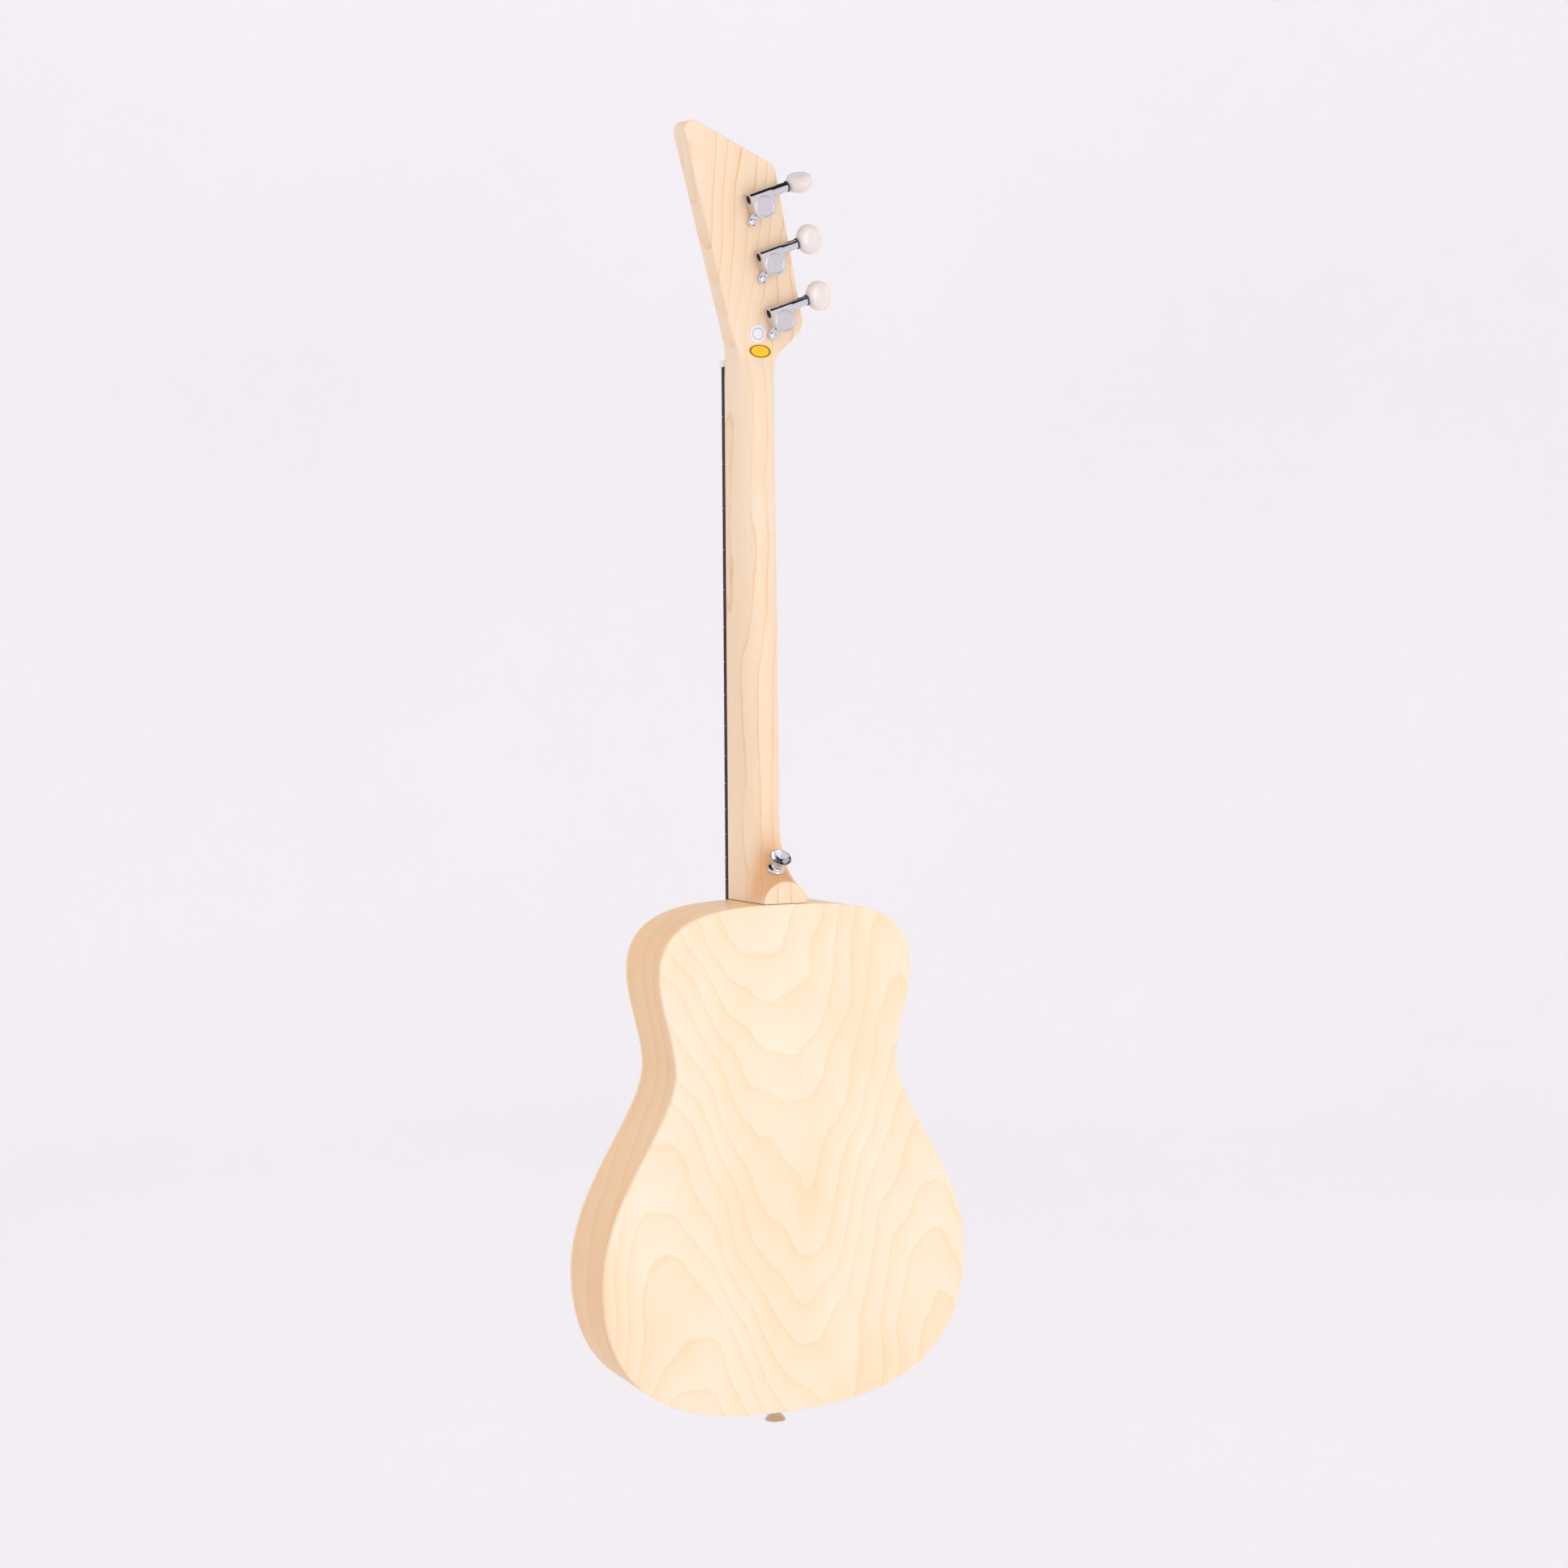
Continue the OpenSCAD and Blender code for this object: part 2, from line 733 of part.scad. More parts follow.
module neck_inserts() {
    color(brass) place() for (y = bolt_ys) difference() {
        rod_along_z(0, y, insert_r, heel_z, heel_z + insert_l);
        rod_along_z(0, y, bolt_r + run_gap, heel_z - cut, heel_z + insert_l + cut);
    }
}

// ---------- nut, bridge and strings ----------

function string_nut_y(i) = -(board_t + fret_h + string_lift + string_r[i - 1]);

function string_saddle_y(i) = string_nut_y(i) - action_rise;

module nut() {
    w = neck_w + 2 * nut_overhang;
    color(bone) place() difference() {
        translate([-w / 2, -board_t - nut_rise, nut_z]) cube([w, board_t + nut_rise, nut_l]);
        for (i = STRINGS) {
            x = (2 - i) * nut_spacing;
            y = string_nut_y(i);
            r = string_r[i - 1] + nut_slot_gap;
            rod_along_z(x, y, r, nut_z - cut, head_z + cut);
            translate([x - r, y - nut_rise, nut_z - cut]) cube([2 * r, nut_rise, nut_l + 2 * cut]);
        }
    }
}

module bridge() {
    color(rosewood) place() difference() {
        translate([0, 0, bridge_z[0]]) linear_extrude(bridge_z[1] - bridge_z[0]) polygon([
            [-bridge_w / 2, 0], [-bridge_w / 2, -bridge_wing_t],
            [-bridge_wing_x - bridge_ramp_l, -bridge_wing_t], [-bridge_wing_x, -bridge_t],
            [bridge_wing_x, -bridge_t], [bridge_wing_x + bridge_ramp_l, -bridge_wing_t],
            [bridge_w / 2, -bridge_wing_t], [bridge_w / 2, 0]
        ]);
        translate([-saddle_w / 2, -bridge_t - cut, saddle_z - saddle_l / 2])
            cube([saddle_w, bridge_t + cut + saddle_seat_y, saddle_l]);
        pin_holes();
    }
}

module saddle() {
    crown = saddle_l / 2;
    top = string_saddle_y(2) + string_r[1];
    color(bone) place() {
        translate([-saddle_w / 2, top + crown, saddle_z - crown])
            cube([saddle_w, saddle_seat_y - top - crown, saddle_l]);
        translate([-saddle_w / 2, top + crown, saddle_z]) rotate([0, 90, 0])
            cylinder(h = saddle_w, r = crown - 0.01);
    }
}

module bridge_pins() {
    color(bone) place() for (i = STRINGS) {
        translate([(2 - i) * saddle_spacing, -bridge_t, pin_z]) rotate([90, 0, 0]) rotate_extrude()
            polygon([
                [0, -pin_l], [pin_tip_r, -pin_l], [pin_r, 0], [pin_head_r, 0],
                [pin_head_r, 0.8], [2.6, 2.1], [1.4, 2.8], [0, 3]
            ]);
    }
}

module string_ball_ends() {
    y = top_t + bridge_plate_t + ball_r;
    color(brass) place() for (i = STRINGS) {
        translate([(2 - i) * saddle_spacing - ball_l / 2, y, string_hole_z + 1.2]) rotate([0, 90, 0])
            cylinder(h = ball_l, r = ball_r);
    }
}

// Where the straight string meets its post, in headstock coordinates: it touches
// the post's waist on the treble side
function string_touch(i) = let (
    from = [(2 - i) * nut_spacing, string_nut_y(i) * sin(head_tilt)],
    to = [post_x(i), post_s(i)],
    reach = norm(to - from),
    r = post_waist_r + string_r[i - 1] + run_gap,
    turn = asin(r / reach),
    along = sqrt(reach * reach - r * r),
    d = (to - from) / reach
) from + along * [cos(turn) * d[0] + sin(turn) * d[1], cos(turn) * d[1] - sin(turn) * d[0]];

function head_to_frame(x, y, s) = [
    x,
    y * cos(head_tilt) + s * sin(head_tilt),
    head_z - y * sin(head_tilt) + s * cos(head_tilt)
];

// A string's path: up from its ball, over the saddle and the nut, and on to its post
function string_path(i) = let (
    x = (2 - i) * saddle_spacing,
    touch = string_touch(i)
) [
    [x, top_t + bridge_plate_t, string_hole_z],
    [x, -bridge_t + 0.4, string_hole_z],
    [x, -bridge_t - 0.5, string_hole_z + 0.4],
    [x, string_saddle_y(2) - string_r[i - 1] + string_r[1] - 0.02, saddle_z],
    [(2 - i) * nut_spacing, string_nut_y(i), nut_z],
    [(2 - i) * nut_spacing, string_nut_y(i), head_z],
    head_to_frame(touch[0], -string_end_h, touch[1])
];

// Sweeps a round tube of radius r along a path that stays near one X
module tube(path, r, sides = 8) {
    last = len(path) - 1;
    rings = [for (k = [0:last]) let (
        back = k == 0 ? path[1] - path[0] : path[k] - path[k - 1],
        ahead = k == last ? back : path[k + 1] - path[k],
        along = back / norm(back) + ahead / norm(ahead),
        right = cross(along, [1, 0, 0]),
        e = right / norm(right),
        f = cross(along, e) / norm(along),
        wide = 2 / norm(along) * e
    ) [
        for (i = [0:sides - 1]) let (turn = 360 * i / sides)
            path[k] + r * (cos(turn) * wide + sin(turn) * f)
    ]];
    polyhedron(
        points = [for (ring = rings) each ring],
        faces = concat(
            [[for (i = [0:sides - 1]) i]],
            [for (k = [0:last - 1]) for (i = [0:sides - 1]) let (j = (i + 1) % sides)
                [k * sides + i, (k + 1) * sides + i, (k + 1) * sides + j, k * sides + j]],
            [[for (i = [sides - 1:-1:0]) last * sides + i]]
        )
    );
}

module string(i) color(i == 3 ? brass : steel) place() tube(string_path(i), string_r[i - 1]);

// Turns of string round the post, above where the straight string arrives
module string_winding(i) {
    r = string_r[i - 1];
    color(i == 3 ? brass : steel) place() post_frame(i)
        translate([0, 0, string_end_h + r + run_gap]) rotate_extrude() {
            translate([post_waist_r + 0.02, 0]) square([2 * r, winding_turns * 2 * r]);
        }
}

// ---------- tuners ----------

// Cross-shaped slot of a screw head, cut down by depth from the plane z = 0
module cross_recess(r, depth) {
    for (turn = [0, 90]) rotate([0, 0, turn]) translate([-r, -r / 4, -depth])
        cube([2 * r, r / 2, depth + cut]);
}

module tuner_housing(i) {
    color(chrome) place() tuner_frame(i) difference() {
        union() {
            cylinder(h = housing_h, r = housing_r);
            translate([-housing_r, 0, 0]) cube([2 * housing_r, housing_top_v, housing_h]);
            translate([lug_at[0], lug_at[1], 0]) {
                cylinder(h = lug_t, r = lug_r);
                rotate([0, 0, 45]) translate([0, -lug_r, 0]) cube([lug_arm_l, 2 * lug_r, lug_t]);
            }
            translate([housing_r - cut, shaft_v, shaft_h]) rotate([0, 90, 0])
                cylinder(h = sleeve_end - housing_r + cut, r1 = sleeve_r[0], r2 = sleeve_r[1]);
        }
        difference() {
            translate([-housing_r - cut, housing_top_v - housing_round, housing_h - housing_round])
                cube([2 * (housing_r + cut), housing_round + cut, housing_round + cut]);
            translate([-housing_r - cut, housing_top_v - housing_round, housing_h - housing_round])
                rotate([0, 90, 0]) cylinder(h = 2 * (housing_r + cut), r = housing_round);
        }
        translate([0, 0, housing_floor]) cylinder(h = housing_h, r = cavity_r);
        translate([0, 0, cover_z]) cylinder(h = housing_h, r = cover_r);
        translate([0, 0, -cut]) cylinder(h = housing_h, r = post_r + run_gap);
        translate([-housing_r - cut, shaft_v, shaft_h]) rotate([0, 90, 0])
            cylinder(h = housing_r + cut + worm_bore_end, r = worm_bore_r);
        translate([0, shaft_v, shaft_h]) rotate([0, 90, 0])
            cylinder(h = sleeve_end + cut, r = shaft_r + run_gap);
        translate([lug_at[0], lug_at[1], -cut]) cylinder(h = lug_t + 2 * cut, r = lug_screw_r + run_gap);
    }
}

module tuner_covers() {
    color(chrome) place() for (i = STRINGS) tuner_frame(i) difference() {
        translate([0, 0, cover_z]) cylinder(h = housing_h - cover_z, r = cover_r);
        translate([0, 0, housing_h - cover_groove_t]) difference() {
            cylinder(h = cut, r = cover_groove_r[1]);
            translate([0, 0, -cut]) cylinder(h = 3 * cut, r = cover_groove_r[0]);
        }
    }
}

module worm_gear(i) {
    color(brass) place() tuner_frame(i) translate([0, 0, shaft_h - gear_t / 2]) difference() {
        linear_extrude(gear_t) polygon([
            for (k = [0:gear_teeth - 1]) let (at = 90 + 360 / gear_teeth * (k + 0.5))
                for (p = gear_tooth) p[0] * [cos(at + p[1]), sin(at + p[1])]
        ]);
        translate([0, 0, -cut]) cylinder(h = gear_t + 2 * cut, r = post_stub_r + snug_gap);
    }
}

function worm_radius(angle) = let (a = abs(angle)) a <= worm_tip_half ? worm_tip_r
    : a >= worm_root_half ? worm_root_r
    : worm_tip_r - (worm_tip_r - worm_root_r) * (a - worm_tip_half) / (worm_root_half - worm_tip_half);

module worm_thread() {
    turns = worm_l / worm_lead;
    slices = round(14 * turns);
    translate([0, 0, -worm_l / 2])
        linear_extrude(worm_l, twist = -360 * turns, slices = slices, segments = len(worm_angles))
            rotate(-90 - 180 * turns)
                polygon([for (a = worm_angles) worm_radius(a) * [cos(a), sin(a)]]);
}

// Knob shaft with its worm, two bearing lands and a tapped outer end
module worm_shaft(i) {
    shaft_end = knob_start + shaft_in_knob;
    land_r = worm_bore_r - run_gap;
    color(steel) place() shaft_frame(i) difference() {
        union() {
            worm_thread();
            translate([0, 0, -worm_l / 2 - land_l]) cylinder(h = worm_l + 2 * land_l, r = worm_core_r);
            translate([0, 0, -worm_l / 2 - 1.5 * land_l]) cylinder(h = land_l, r = land_r);
            translate([0, 0, worm_bore_end - run_gap - land_l]) cylinder(h = land_l, r = land_r);
            translate([0, 0, worm_bore_end - land_l / 2])
                cylinder(h = shaft_end - worm_bore_end + land_l / 2, r = shaft_r);
        }
        translate([0, 0, shaft_end - shaft_thread_l])
            cylinder(h = shaft_thread_l + cut, r = screw_thread_r);
    }
}

module string_post(i) {
    foot = -head_t - shaft_h + gear_t / 2;
    color(steel) place() post_frame(i) difference() {
        rotate_extrude() polygon([
            [0, foot - gear_t - post_ease], [post_stub_r, foot - gear_t - post_ease], [post_stub_r, foot],
            [post_r, foot], [post_r, waist_h[0] - post_ease], [post_waist_r, waist_h[0]],
            [post_waist_r, waist_h[1]], [post_r, waist_h[1] + post_ease], [post_r, post_h - post_ease],
            [post_r - post_ease, post_h], [0, post_h]
        ]);
        translate([-2 * post_r, 0, post_hole_h]) rotate([0, 90, 0])
            cylinder(h = 4 * post_r, r = post_hole_r);
    }
}

module post_washers() {
    color(chrome) place() for (i = STRINGS) post_frame(i) difference() {
        cylinder(h = washer_t, r = washer_r);
        translate([0, 0, -cut]) cylinder(h = washer_t + 2 * cut, r = bushing_r + run_gap);
    }
}

module post_bushings() {
    color(chrome) place() for (i = STRINGS) post_frame(i) difference() {
        union() {
            translate([0, 0, -bushing_l]) cylinder(h = bushing_l + washer_t + cut, r = bushing_r);
            translate([0, 0, washer_t]) cylinder(h = bushing_hex_h, r = bushing_hex_r, $fn = 6);
        }
        translate([0, 0, -bushing_l - cut]) cylinder(h = bushing_l + post_h, r = post_r + run_gap);
    }
}

module shaft_washers() {
    color([0.2, 0.2, 0.22]) place() for (i = STRINGS) shaft_frame(i) difference() {
        translate([0, 0, sleeve_end]) cylinder(h = shaft_washer[1], r = shaft_washer[0]);
        cylinder(h = knob_start, r = shaft_r + 2 * run_gap);
    }
}

module lug_screw() {
    difference() {
        union() {
            translate([0, 0, -lug_screw_l]) cylinder(h = lug_screw_l + lug_t, r = lug_screw_r);
            translate([0, 0, lug_t]) rotate_extrude() polygon(lug_screw_head);
        }
        translate([0, 0, lug_t + lug_screw_head_h]) cross_recess(1.3, 0.7);
    }
}

module tuner_screws() {
    color(chrome) place() for (i = STRINGS) tuner_frame(i)
        translate([lug_at[0], lug_at[1], 0]) lug_screw();
}

// Oval button, flattest across the frame's X when its turn is zero
module tuner_knob(i) {
    middle = knob_start + knob_half[0];
    shaft_end = knob_start + shaft_in_knob;
    color(bone) place() shaft_frame(i) rotate([0, 0, knob_turn[i - 1]]) difference() {
        union() {
            hull() for (side = [-1, 1]) for (level = knob_levels) {
                translate([side * level[0] - knob_skin / 2, 0, middle]) rotate([0, 90, 0])
                    linear_extrude(knob_skin) scale([knob_half[0] * level[1], knob_half[1] * level[1]])
                        circle(r = 1, $fn = 32);
            }
            translate([0, 0, knob_start]) cylinder(h = knob_collar_l, r = knob_collar_r);
        }
        translate([0, 0, knob_start - cut])
            cylinder(h = shaft_in_knob + cut + knob_skin, r = shaft_r + snug_gap);
        translate([0, 0, shaft_end]) cylinder(h = knob_half[0], r = screw_thread_r);
        translate([0, 0, knob_screw_z]) cylinder(h = knob_half[0], r = knob_recess_r);
    }
}

module knob_screw(i) {
    shank_z = knob_start + shaft_in_knob - knob_screw_grip;
    color(chrome) place() shaft_frame(i) difference() {
        union() {
            translate([0, 0, shank_z])
                cylinder(h = knob_screw_z - shank_z, r = screw_thread_r - run_gap);
            translate([0, 0, knob_screw_z]) rotate_extrude() polygon(knob_screw_head);
        }
        translate([0, 0, knob_screw_z + knob_screw_head_h]) cross_recess(1.1, 0.6);
    }
}

// ---------- strap buttons and stickers ----------

module strap_button() rotate_extrude() polygon(button_outline);

module strap_buttons() {
    color(chrome) place() {
        tail_button_frame() strap_button();
        heel_button_frame() strap_button();
    }
}

module strap_screw() {
    difference() {
        union() {
            translate([0, 0, button_screw_start])
                cylinder(h = button_seat_h - button_screw_start, r = button_screw_r);
            translate([0, 0, button_seat_h]) rotate_extrude() polygon(button_screw_head);
        }
        translate([0, 0, button_seat_h + button_screw_head_h]) cross_recess(1.7, 1);
    }
}

module strap_screws() {
    color(steel) place() {
        tail_button_frame() strap_screw();
        heel_button_frame() strap_screw();
    }
}

// A thin label on the carved back where the neck runs into the headstock
module label() {
    intersection() {
        difference() {
            neck_blank(label_t);
            neck_blank(0);
        }
        head_frame() slab(head_t / 2, head_t) children();
    }
}

module inspection_sticker() {
    color("white") place() label() translate(round_label_at) circle(r = round_label_r);
}

module origin_sticker() {
    color([0.95, 0.75, 0.1]) place() label()
        translate(oval_label_at) scale(oval_label_half) circle(r = 1);
}

soundboard();
back_plate();
side_bass();
side_treble();
neck_block();
tail_block();
top_linings();
back_linings();
x_brace_bass();
x_brace_treble();
top_cross_braces();
bridge_plate();
back_braces();
rosette();
neck();
fingerboard();
frets();
nut();
position_dots();
truss_rod();
truss_rod_nut();
neck_bolts();
neck_inserts();
bridge();
saddle();
bridge_pins();
string_ball_ends();
tuner_covers();
post_bushings();
post_washers();
shaft_washers();
tuner_screws();
strap_buttons();
strap_screws();
inspection_sticker();
origin_sticker();
for (i = STRINGS) {
    string(i);
    string_winding(i);
    tuner_housing(i);
    worm_shaft(i);
    worm_gear(i);
    string_post(i);
    tuner_knob(i);
    knob_screw(i);
}
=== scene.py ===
"""Looks of a small three-string guitar with a maple body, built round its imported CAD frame.

Inside this script lengths are millimetres in the part's own frame: x runs to the treble side,
z up the neck, and y is the depth behind the soundboard's outer face. world() turns them into
metres in the row frame, whose origin is the seat of the end button.
"""

import json
import math

import bmesh
import bpy
import numpy as np
from mathutils import Matrix, Vector
from mathutils.bvhtree import BVHTree
from mathutils.geometry import delaunay_2d_cdt

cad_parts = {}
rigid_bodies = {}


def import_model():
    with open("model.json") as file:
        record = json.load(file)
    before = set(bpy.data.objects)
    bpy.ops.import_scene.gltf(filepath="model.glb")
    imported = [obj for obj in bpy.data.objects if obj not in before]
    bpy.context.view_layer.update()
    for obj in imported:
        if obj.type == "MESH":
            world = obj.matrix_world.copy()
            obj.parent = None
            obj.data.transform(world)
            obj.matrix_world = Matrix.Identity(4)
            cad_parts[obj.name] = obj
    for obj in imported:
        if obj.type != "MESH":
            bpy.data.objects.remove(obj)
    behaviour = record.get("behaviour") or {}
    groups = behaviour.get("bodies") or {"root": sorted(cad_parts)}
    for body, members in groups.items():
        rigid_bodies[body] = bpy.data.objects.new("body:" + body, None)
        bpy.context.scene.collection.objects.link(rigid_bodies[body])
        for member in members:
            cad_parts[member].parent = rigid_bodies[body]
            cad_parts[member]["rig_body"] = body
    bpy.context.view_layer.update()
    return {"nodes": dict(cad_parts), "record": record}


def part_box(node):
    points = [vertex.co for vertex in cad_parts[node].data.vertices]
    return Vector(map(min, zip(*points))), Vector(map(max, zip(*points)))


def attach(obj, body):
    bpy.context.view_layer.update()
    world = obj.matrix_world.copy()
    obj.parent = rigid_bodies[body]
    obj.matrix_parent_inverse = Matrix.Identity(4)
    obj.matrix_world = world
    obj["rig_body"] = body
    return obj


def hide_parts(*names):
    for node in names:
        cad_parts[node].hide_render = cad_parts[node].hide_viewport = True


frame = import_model()
scene = bpy.context.scene

MM = 0.001
BODY = "guitar"
BUTTON_DEPTH = -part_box("soundboard")[0].y / MM


def add_object(name, data):
    obj = bpy.data.objects.new(name, data)
    scene.collection.objects.link(obj)
    return obj


def world(points):
    """Millimetres from the soundboard's face to metres in the row frame."""
    return (np.asarray(points, float) - (0, BUTTON_DEPTH, 0)) * MM


def box_mm(node):
    """Lowest and highest corner of a CAD node, in this script's millimetres."""
    low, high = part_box(node)
    return [np.array(corner) / MM + (0, BUTTON_DEPTH, 0) for corner in (low, high)]


# ---------------- camera

CAMERA_AT = (0.6061, 1.2575, 0.4077)
CAMERA_YAW = 0.4547
CAMERA_PITCH = 0.0305
CAMERA_ROLL = -0.007
CAMERA_LENS = 54.68


def make_camera():
    """The camera looks at the guitar's back, from a little to its treble side."""
    data = bpy.data.cameras.new("camera")
    data.lens = CAMERA_LENS
    data.sensor_width = 36
    data.clip_start = 0.05
    data.clip_end = 60
    camera = add_object("camera", data)
    look = Vector((
        -math.sin(CAMERA_YAW) * math.cos(CAMERA_PITCH),
        -math.cos(CAMERA_YAW) * math.cos(CAMERA_PITCH),
        -math.sin(CAMERA_PITCH),
    ))
    level = Vector((-math.cos(CAMERA_YAW), math.sin(CAMERA_YAW), 0))
    upright = level.cross(look)
    right = level * math.cos(CAMERA_ROLL) + upright * math.sin(CAMERA_ROLL)
    up = upright * math.cos(CAMERA_ROLL) - level * math.sin(CAMERA_ROLL)
    turn = Matrix((right, up, -look)).transposed().to_4x4()
    camera.matrix_world = Matrix.Translation(CAMERA_AT) @ turn
    scene.camera = camera


make_camera()

# ---------------- node graphs


class Graph:
    """A material under construction, new or taken up again: sockets in, sockets out."""

    def __init__(self, name, material=None):
        self.material = material or bpy.data.materials.new(name)
        self.material.use_nodes = True
        self.tree = self.material.node_tree
        self.shader = self.tree.nodes["Principled BSDF"]

    def node(self, kind, inputs=None, **settings):
        made = self.tree.nodes.new(kind)
        for key, value in settings.items():
            setattr(made, key, value)
        for key, value in (inputs or {}).items():
            self.put(made.inputs[key], value)
        return made

    def put(self, socket, value):
        if isinstance(value, bpy.types.NodeSocket):
            self.tree.links.new(value, socket)
        else:
            socket.default_value = value

    def math(self, operation, a, b=0.0, c=0.0):
        made = self.node("ShaderNodeMath", operation=operation)
        for index, value in enumerate((a, b, c)):
            self.put(made.inputs[index], value)
        return made.outputs[0]

    def hypot(self, a, b):
        return self.math("SQRT", self.math("ADD", self.math("MULTIPLY", a, a), self.math("MULTIPLY", b, b)))

    def places(self):
        """The surface point in millimetres, as a vector socket."""
        coordinates = self.node("ShaderNodeTexCoord")
        return self.vector("SCALE", coordinates.outputs["Object"], scale=1 / MM)

    def vector(self, operation, a, b=(0.0, 0.0, 0.0), scale=1.0):
        made = self.node("ShaderNodeVectorMath", operation=operation)
        self.put(made.inputs[0], a)
        if operation == "SCALE":
            made.inputs["Scale"].default_value = scale
        else:
            self.put(made.inputs[1], b)
        return made.outputs[1] if operation in ("LENGTH", "DOT_PRODUCT") else made.outputs[0]

    def xyz(self, vector):
        return self.node("ShaderNodeSeparateXYZ", {0: vector}).outputs

    def noise(self, vector, size, detail=3.0, roughness=0.5, stretch=(1, 1, 1)):
        """Noise whose features are about size millimetres, drawn out by stretch along each axis."""
        scaled = self.vector("MULTIPLY", vector, tuple(1 / (size * s) for s in stretch))
        made = self.node("ShaderNodeTexNoise", {"Vector": scaled, "Scale": 1.0, "Detail": detail,
                                                "Roughness": roughness})
        return made.outputs["Fac"]

    def map(self, value, low, high, to_low=0.0, to_high=1.0, smooth=False):
        made = self.node("ShaderNodeMapRange", {0: value, 1: low, 2: high, 3: to_low, 4: to_high})
        if smooth:
            made.interpolation_type = "SMOOTHSTEP"
        return made.outputs[0]

    def mix(self, share, a, b):
        made = self.node("ShaderNodeMix", data_type="RGBA")
        self.put(made.inputs[0], share)
        self.put(made.inputs[6], a)
        self.put(made.inputs[7], b)
        return made.outputs[2]

    def bump(self, height, distance, strength=1.0):
        made = self.node("ShaderNodeBump", {"Height": height, "Distance": distance * MM,
                                            "Strength": strength})
        return made.outputs["Normal"]

    def set(self, **values):
        for key, value in values.items():
            self.put(self.shader.inputs[key.replace("_", " ")], value)
        return self.material


def colour(red, green, blue):
    """A colour given as it looks on a screen, from 0 to 255, made linear."""
    linear = [((c / 255 + 0.055) / 1.055) ** 2.4 if c > 10 else c / 255 / 12.92 for c in (red, green, blue)]
    return (*linear, 1.0)


# ---------------- materials


def ring_figure(graph, place, centre, lean, spacing, wander):
    """Growth rings round a leaning pith: gives the phase, whose whole part counts the rings."""
    x, y, z = graph.xyz(place)
    sway = graph.noise(place, 60, 2, 0.5, (1, 1, 3))
    ripple = graph.noise(place, 9, 3, 0.6, (1, 1, 5))
    across = graph.math("ADD", x, graph.math("MULTIPLY_ADD", z, lean[0], -centre[0]))
    deep = graph.math("ADD", y, graph.math("MULTIPLY_ADD", z, lean[1], -centre[1]))
    radius = graph.hypot(across, deep)
    radius = graph.math("MULTIPLY_ADD", sway, wander, radius)
    radius = graph.math("MULTIPLY_ADD", ripple, wander * 0.12, radius)
    return graph.math("DIVIDE", radius, spacing)


ARCH_PERIOD = 170
ARCH_RISE = 150
ARCH_SPACING = 33.0


def cathedral_figure(graph, place):
    """Nested arches of a plain-sawn board, open towards the neck, as on the back of the body."""
    x, _, z = graph.xyz(place)
    sway = graph.noise(place, 70, 2, 0.5, (1, 1, 1.6))
    ripple = graph.noise(place, 10, 3, 0.65, (1, 1, 3))
    middle = graph.math("MULTIPLY_ADD", z, 0.12, -22.0)
    off = graph.math("SUBTRACT", x, middle)
    turn = graph.math("MULTIPLY", off, 2 * math.pi / ARCH_PERIOD)
    rise = graph.math("MULTIPLY_ADD", graph.math("COSINE", turn), -ARCH_RISE / 2, ARCH_RISE / 2)
    level = graph.math("SUBTRACT", z, rise)
    level = graph.math("MULTIPLY_ADD", sway, 130.0, level)
    level = graph.math("MULTIPLY_ADD", ripple, 9.0, level)
    return graph.math("DIVIDE", level, ARCH_SPACING)


def wood(name, pale, deep, line, figure, shine=0.42, line_share=0.3, streak=0.5, patch=55):
    """Pale close-grained wood: soft bands that warm towards a thin line, fine fibres and flecks."""
    graph = Graph(name)
    place = graph.places()
    ring = graph.math("FRACT", figure(graph, place))
    body = graph.math("POWER", graph.map(ring, 0.1, 0.95), 1.8)
    rise = graph.map(ring, 0.84, 0.955, smooth=True)
    thin = graph.math("MULTIPLY", rise, graph.map(ring, 0.965, 1.0, 1.0, 0.0))
    strength = graph.map(graph.noise(place, 38, 2, 0.5, (1, 1, 2.2)), 0.38, 0.66, 0.1, 1.0)
    thin = graph.math("MULTIPLY", thin, strength)
    fibre = graph.noise(place, 0.9, 4, 0.6, (1, 1, 34))
    cloud = graph.noise(place, patch, 3, 0.5, (1, 1, 2))
    fleck = graph.map(graph.noise(place, 1.1, 2, 0.5, (1, 1, 7)), 0.66, 0.8)
    tone = graph.math("MULTIPLY", body, 0.3)
    tone = graph.math("MULTIPLY_ADD", graph.map(cloud, 0.3, 0.7), 0.5, tone)
    tone = graph.math("MULTIPLY_ADD", graph.map(fibre, 0.3, 0.7), 0.24 * streak, tone)
    base = graph.mix(graph.math("MINIMUM", tone, 1.0), pale, deep)
    base = graph.mix(graph.math("MULTIPLY", thin, line_share), base, line)
    base = graph.mix(graph.math("MULTIPLY", fleck, 0.12), base, line)
    rough = graph.map(fibre, 0.3, 0.7, shine - 0.05, shine + 0.07)
    return graph.set(Base_Color=base, Roughness=rough, Normal=graph.bump(fibre, 0.03, 0.5), IOR=1.5,
                     Coat_Weight=0.12, Coat_Roughness=0.25)


def maple_back():
    return wood("maple_back", colour(254, 240, 216), colour(252, 218, 166), colour(240, 182, 104),
                cathedral_figure, line_share=0.11, streak=0.6, patch=70)


def maple_side():
    def figure(graph, place):
        return ring_figure(graph, place, (0, 260), (0.1, 0.04), 17.0, 26.0)
    return wood("maple_side", colour(247, 213, 168), colour(243, 191, 130), colour(220, 156, 92), figure,
                shine=0.4, line_share=0.14)


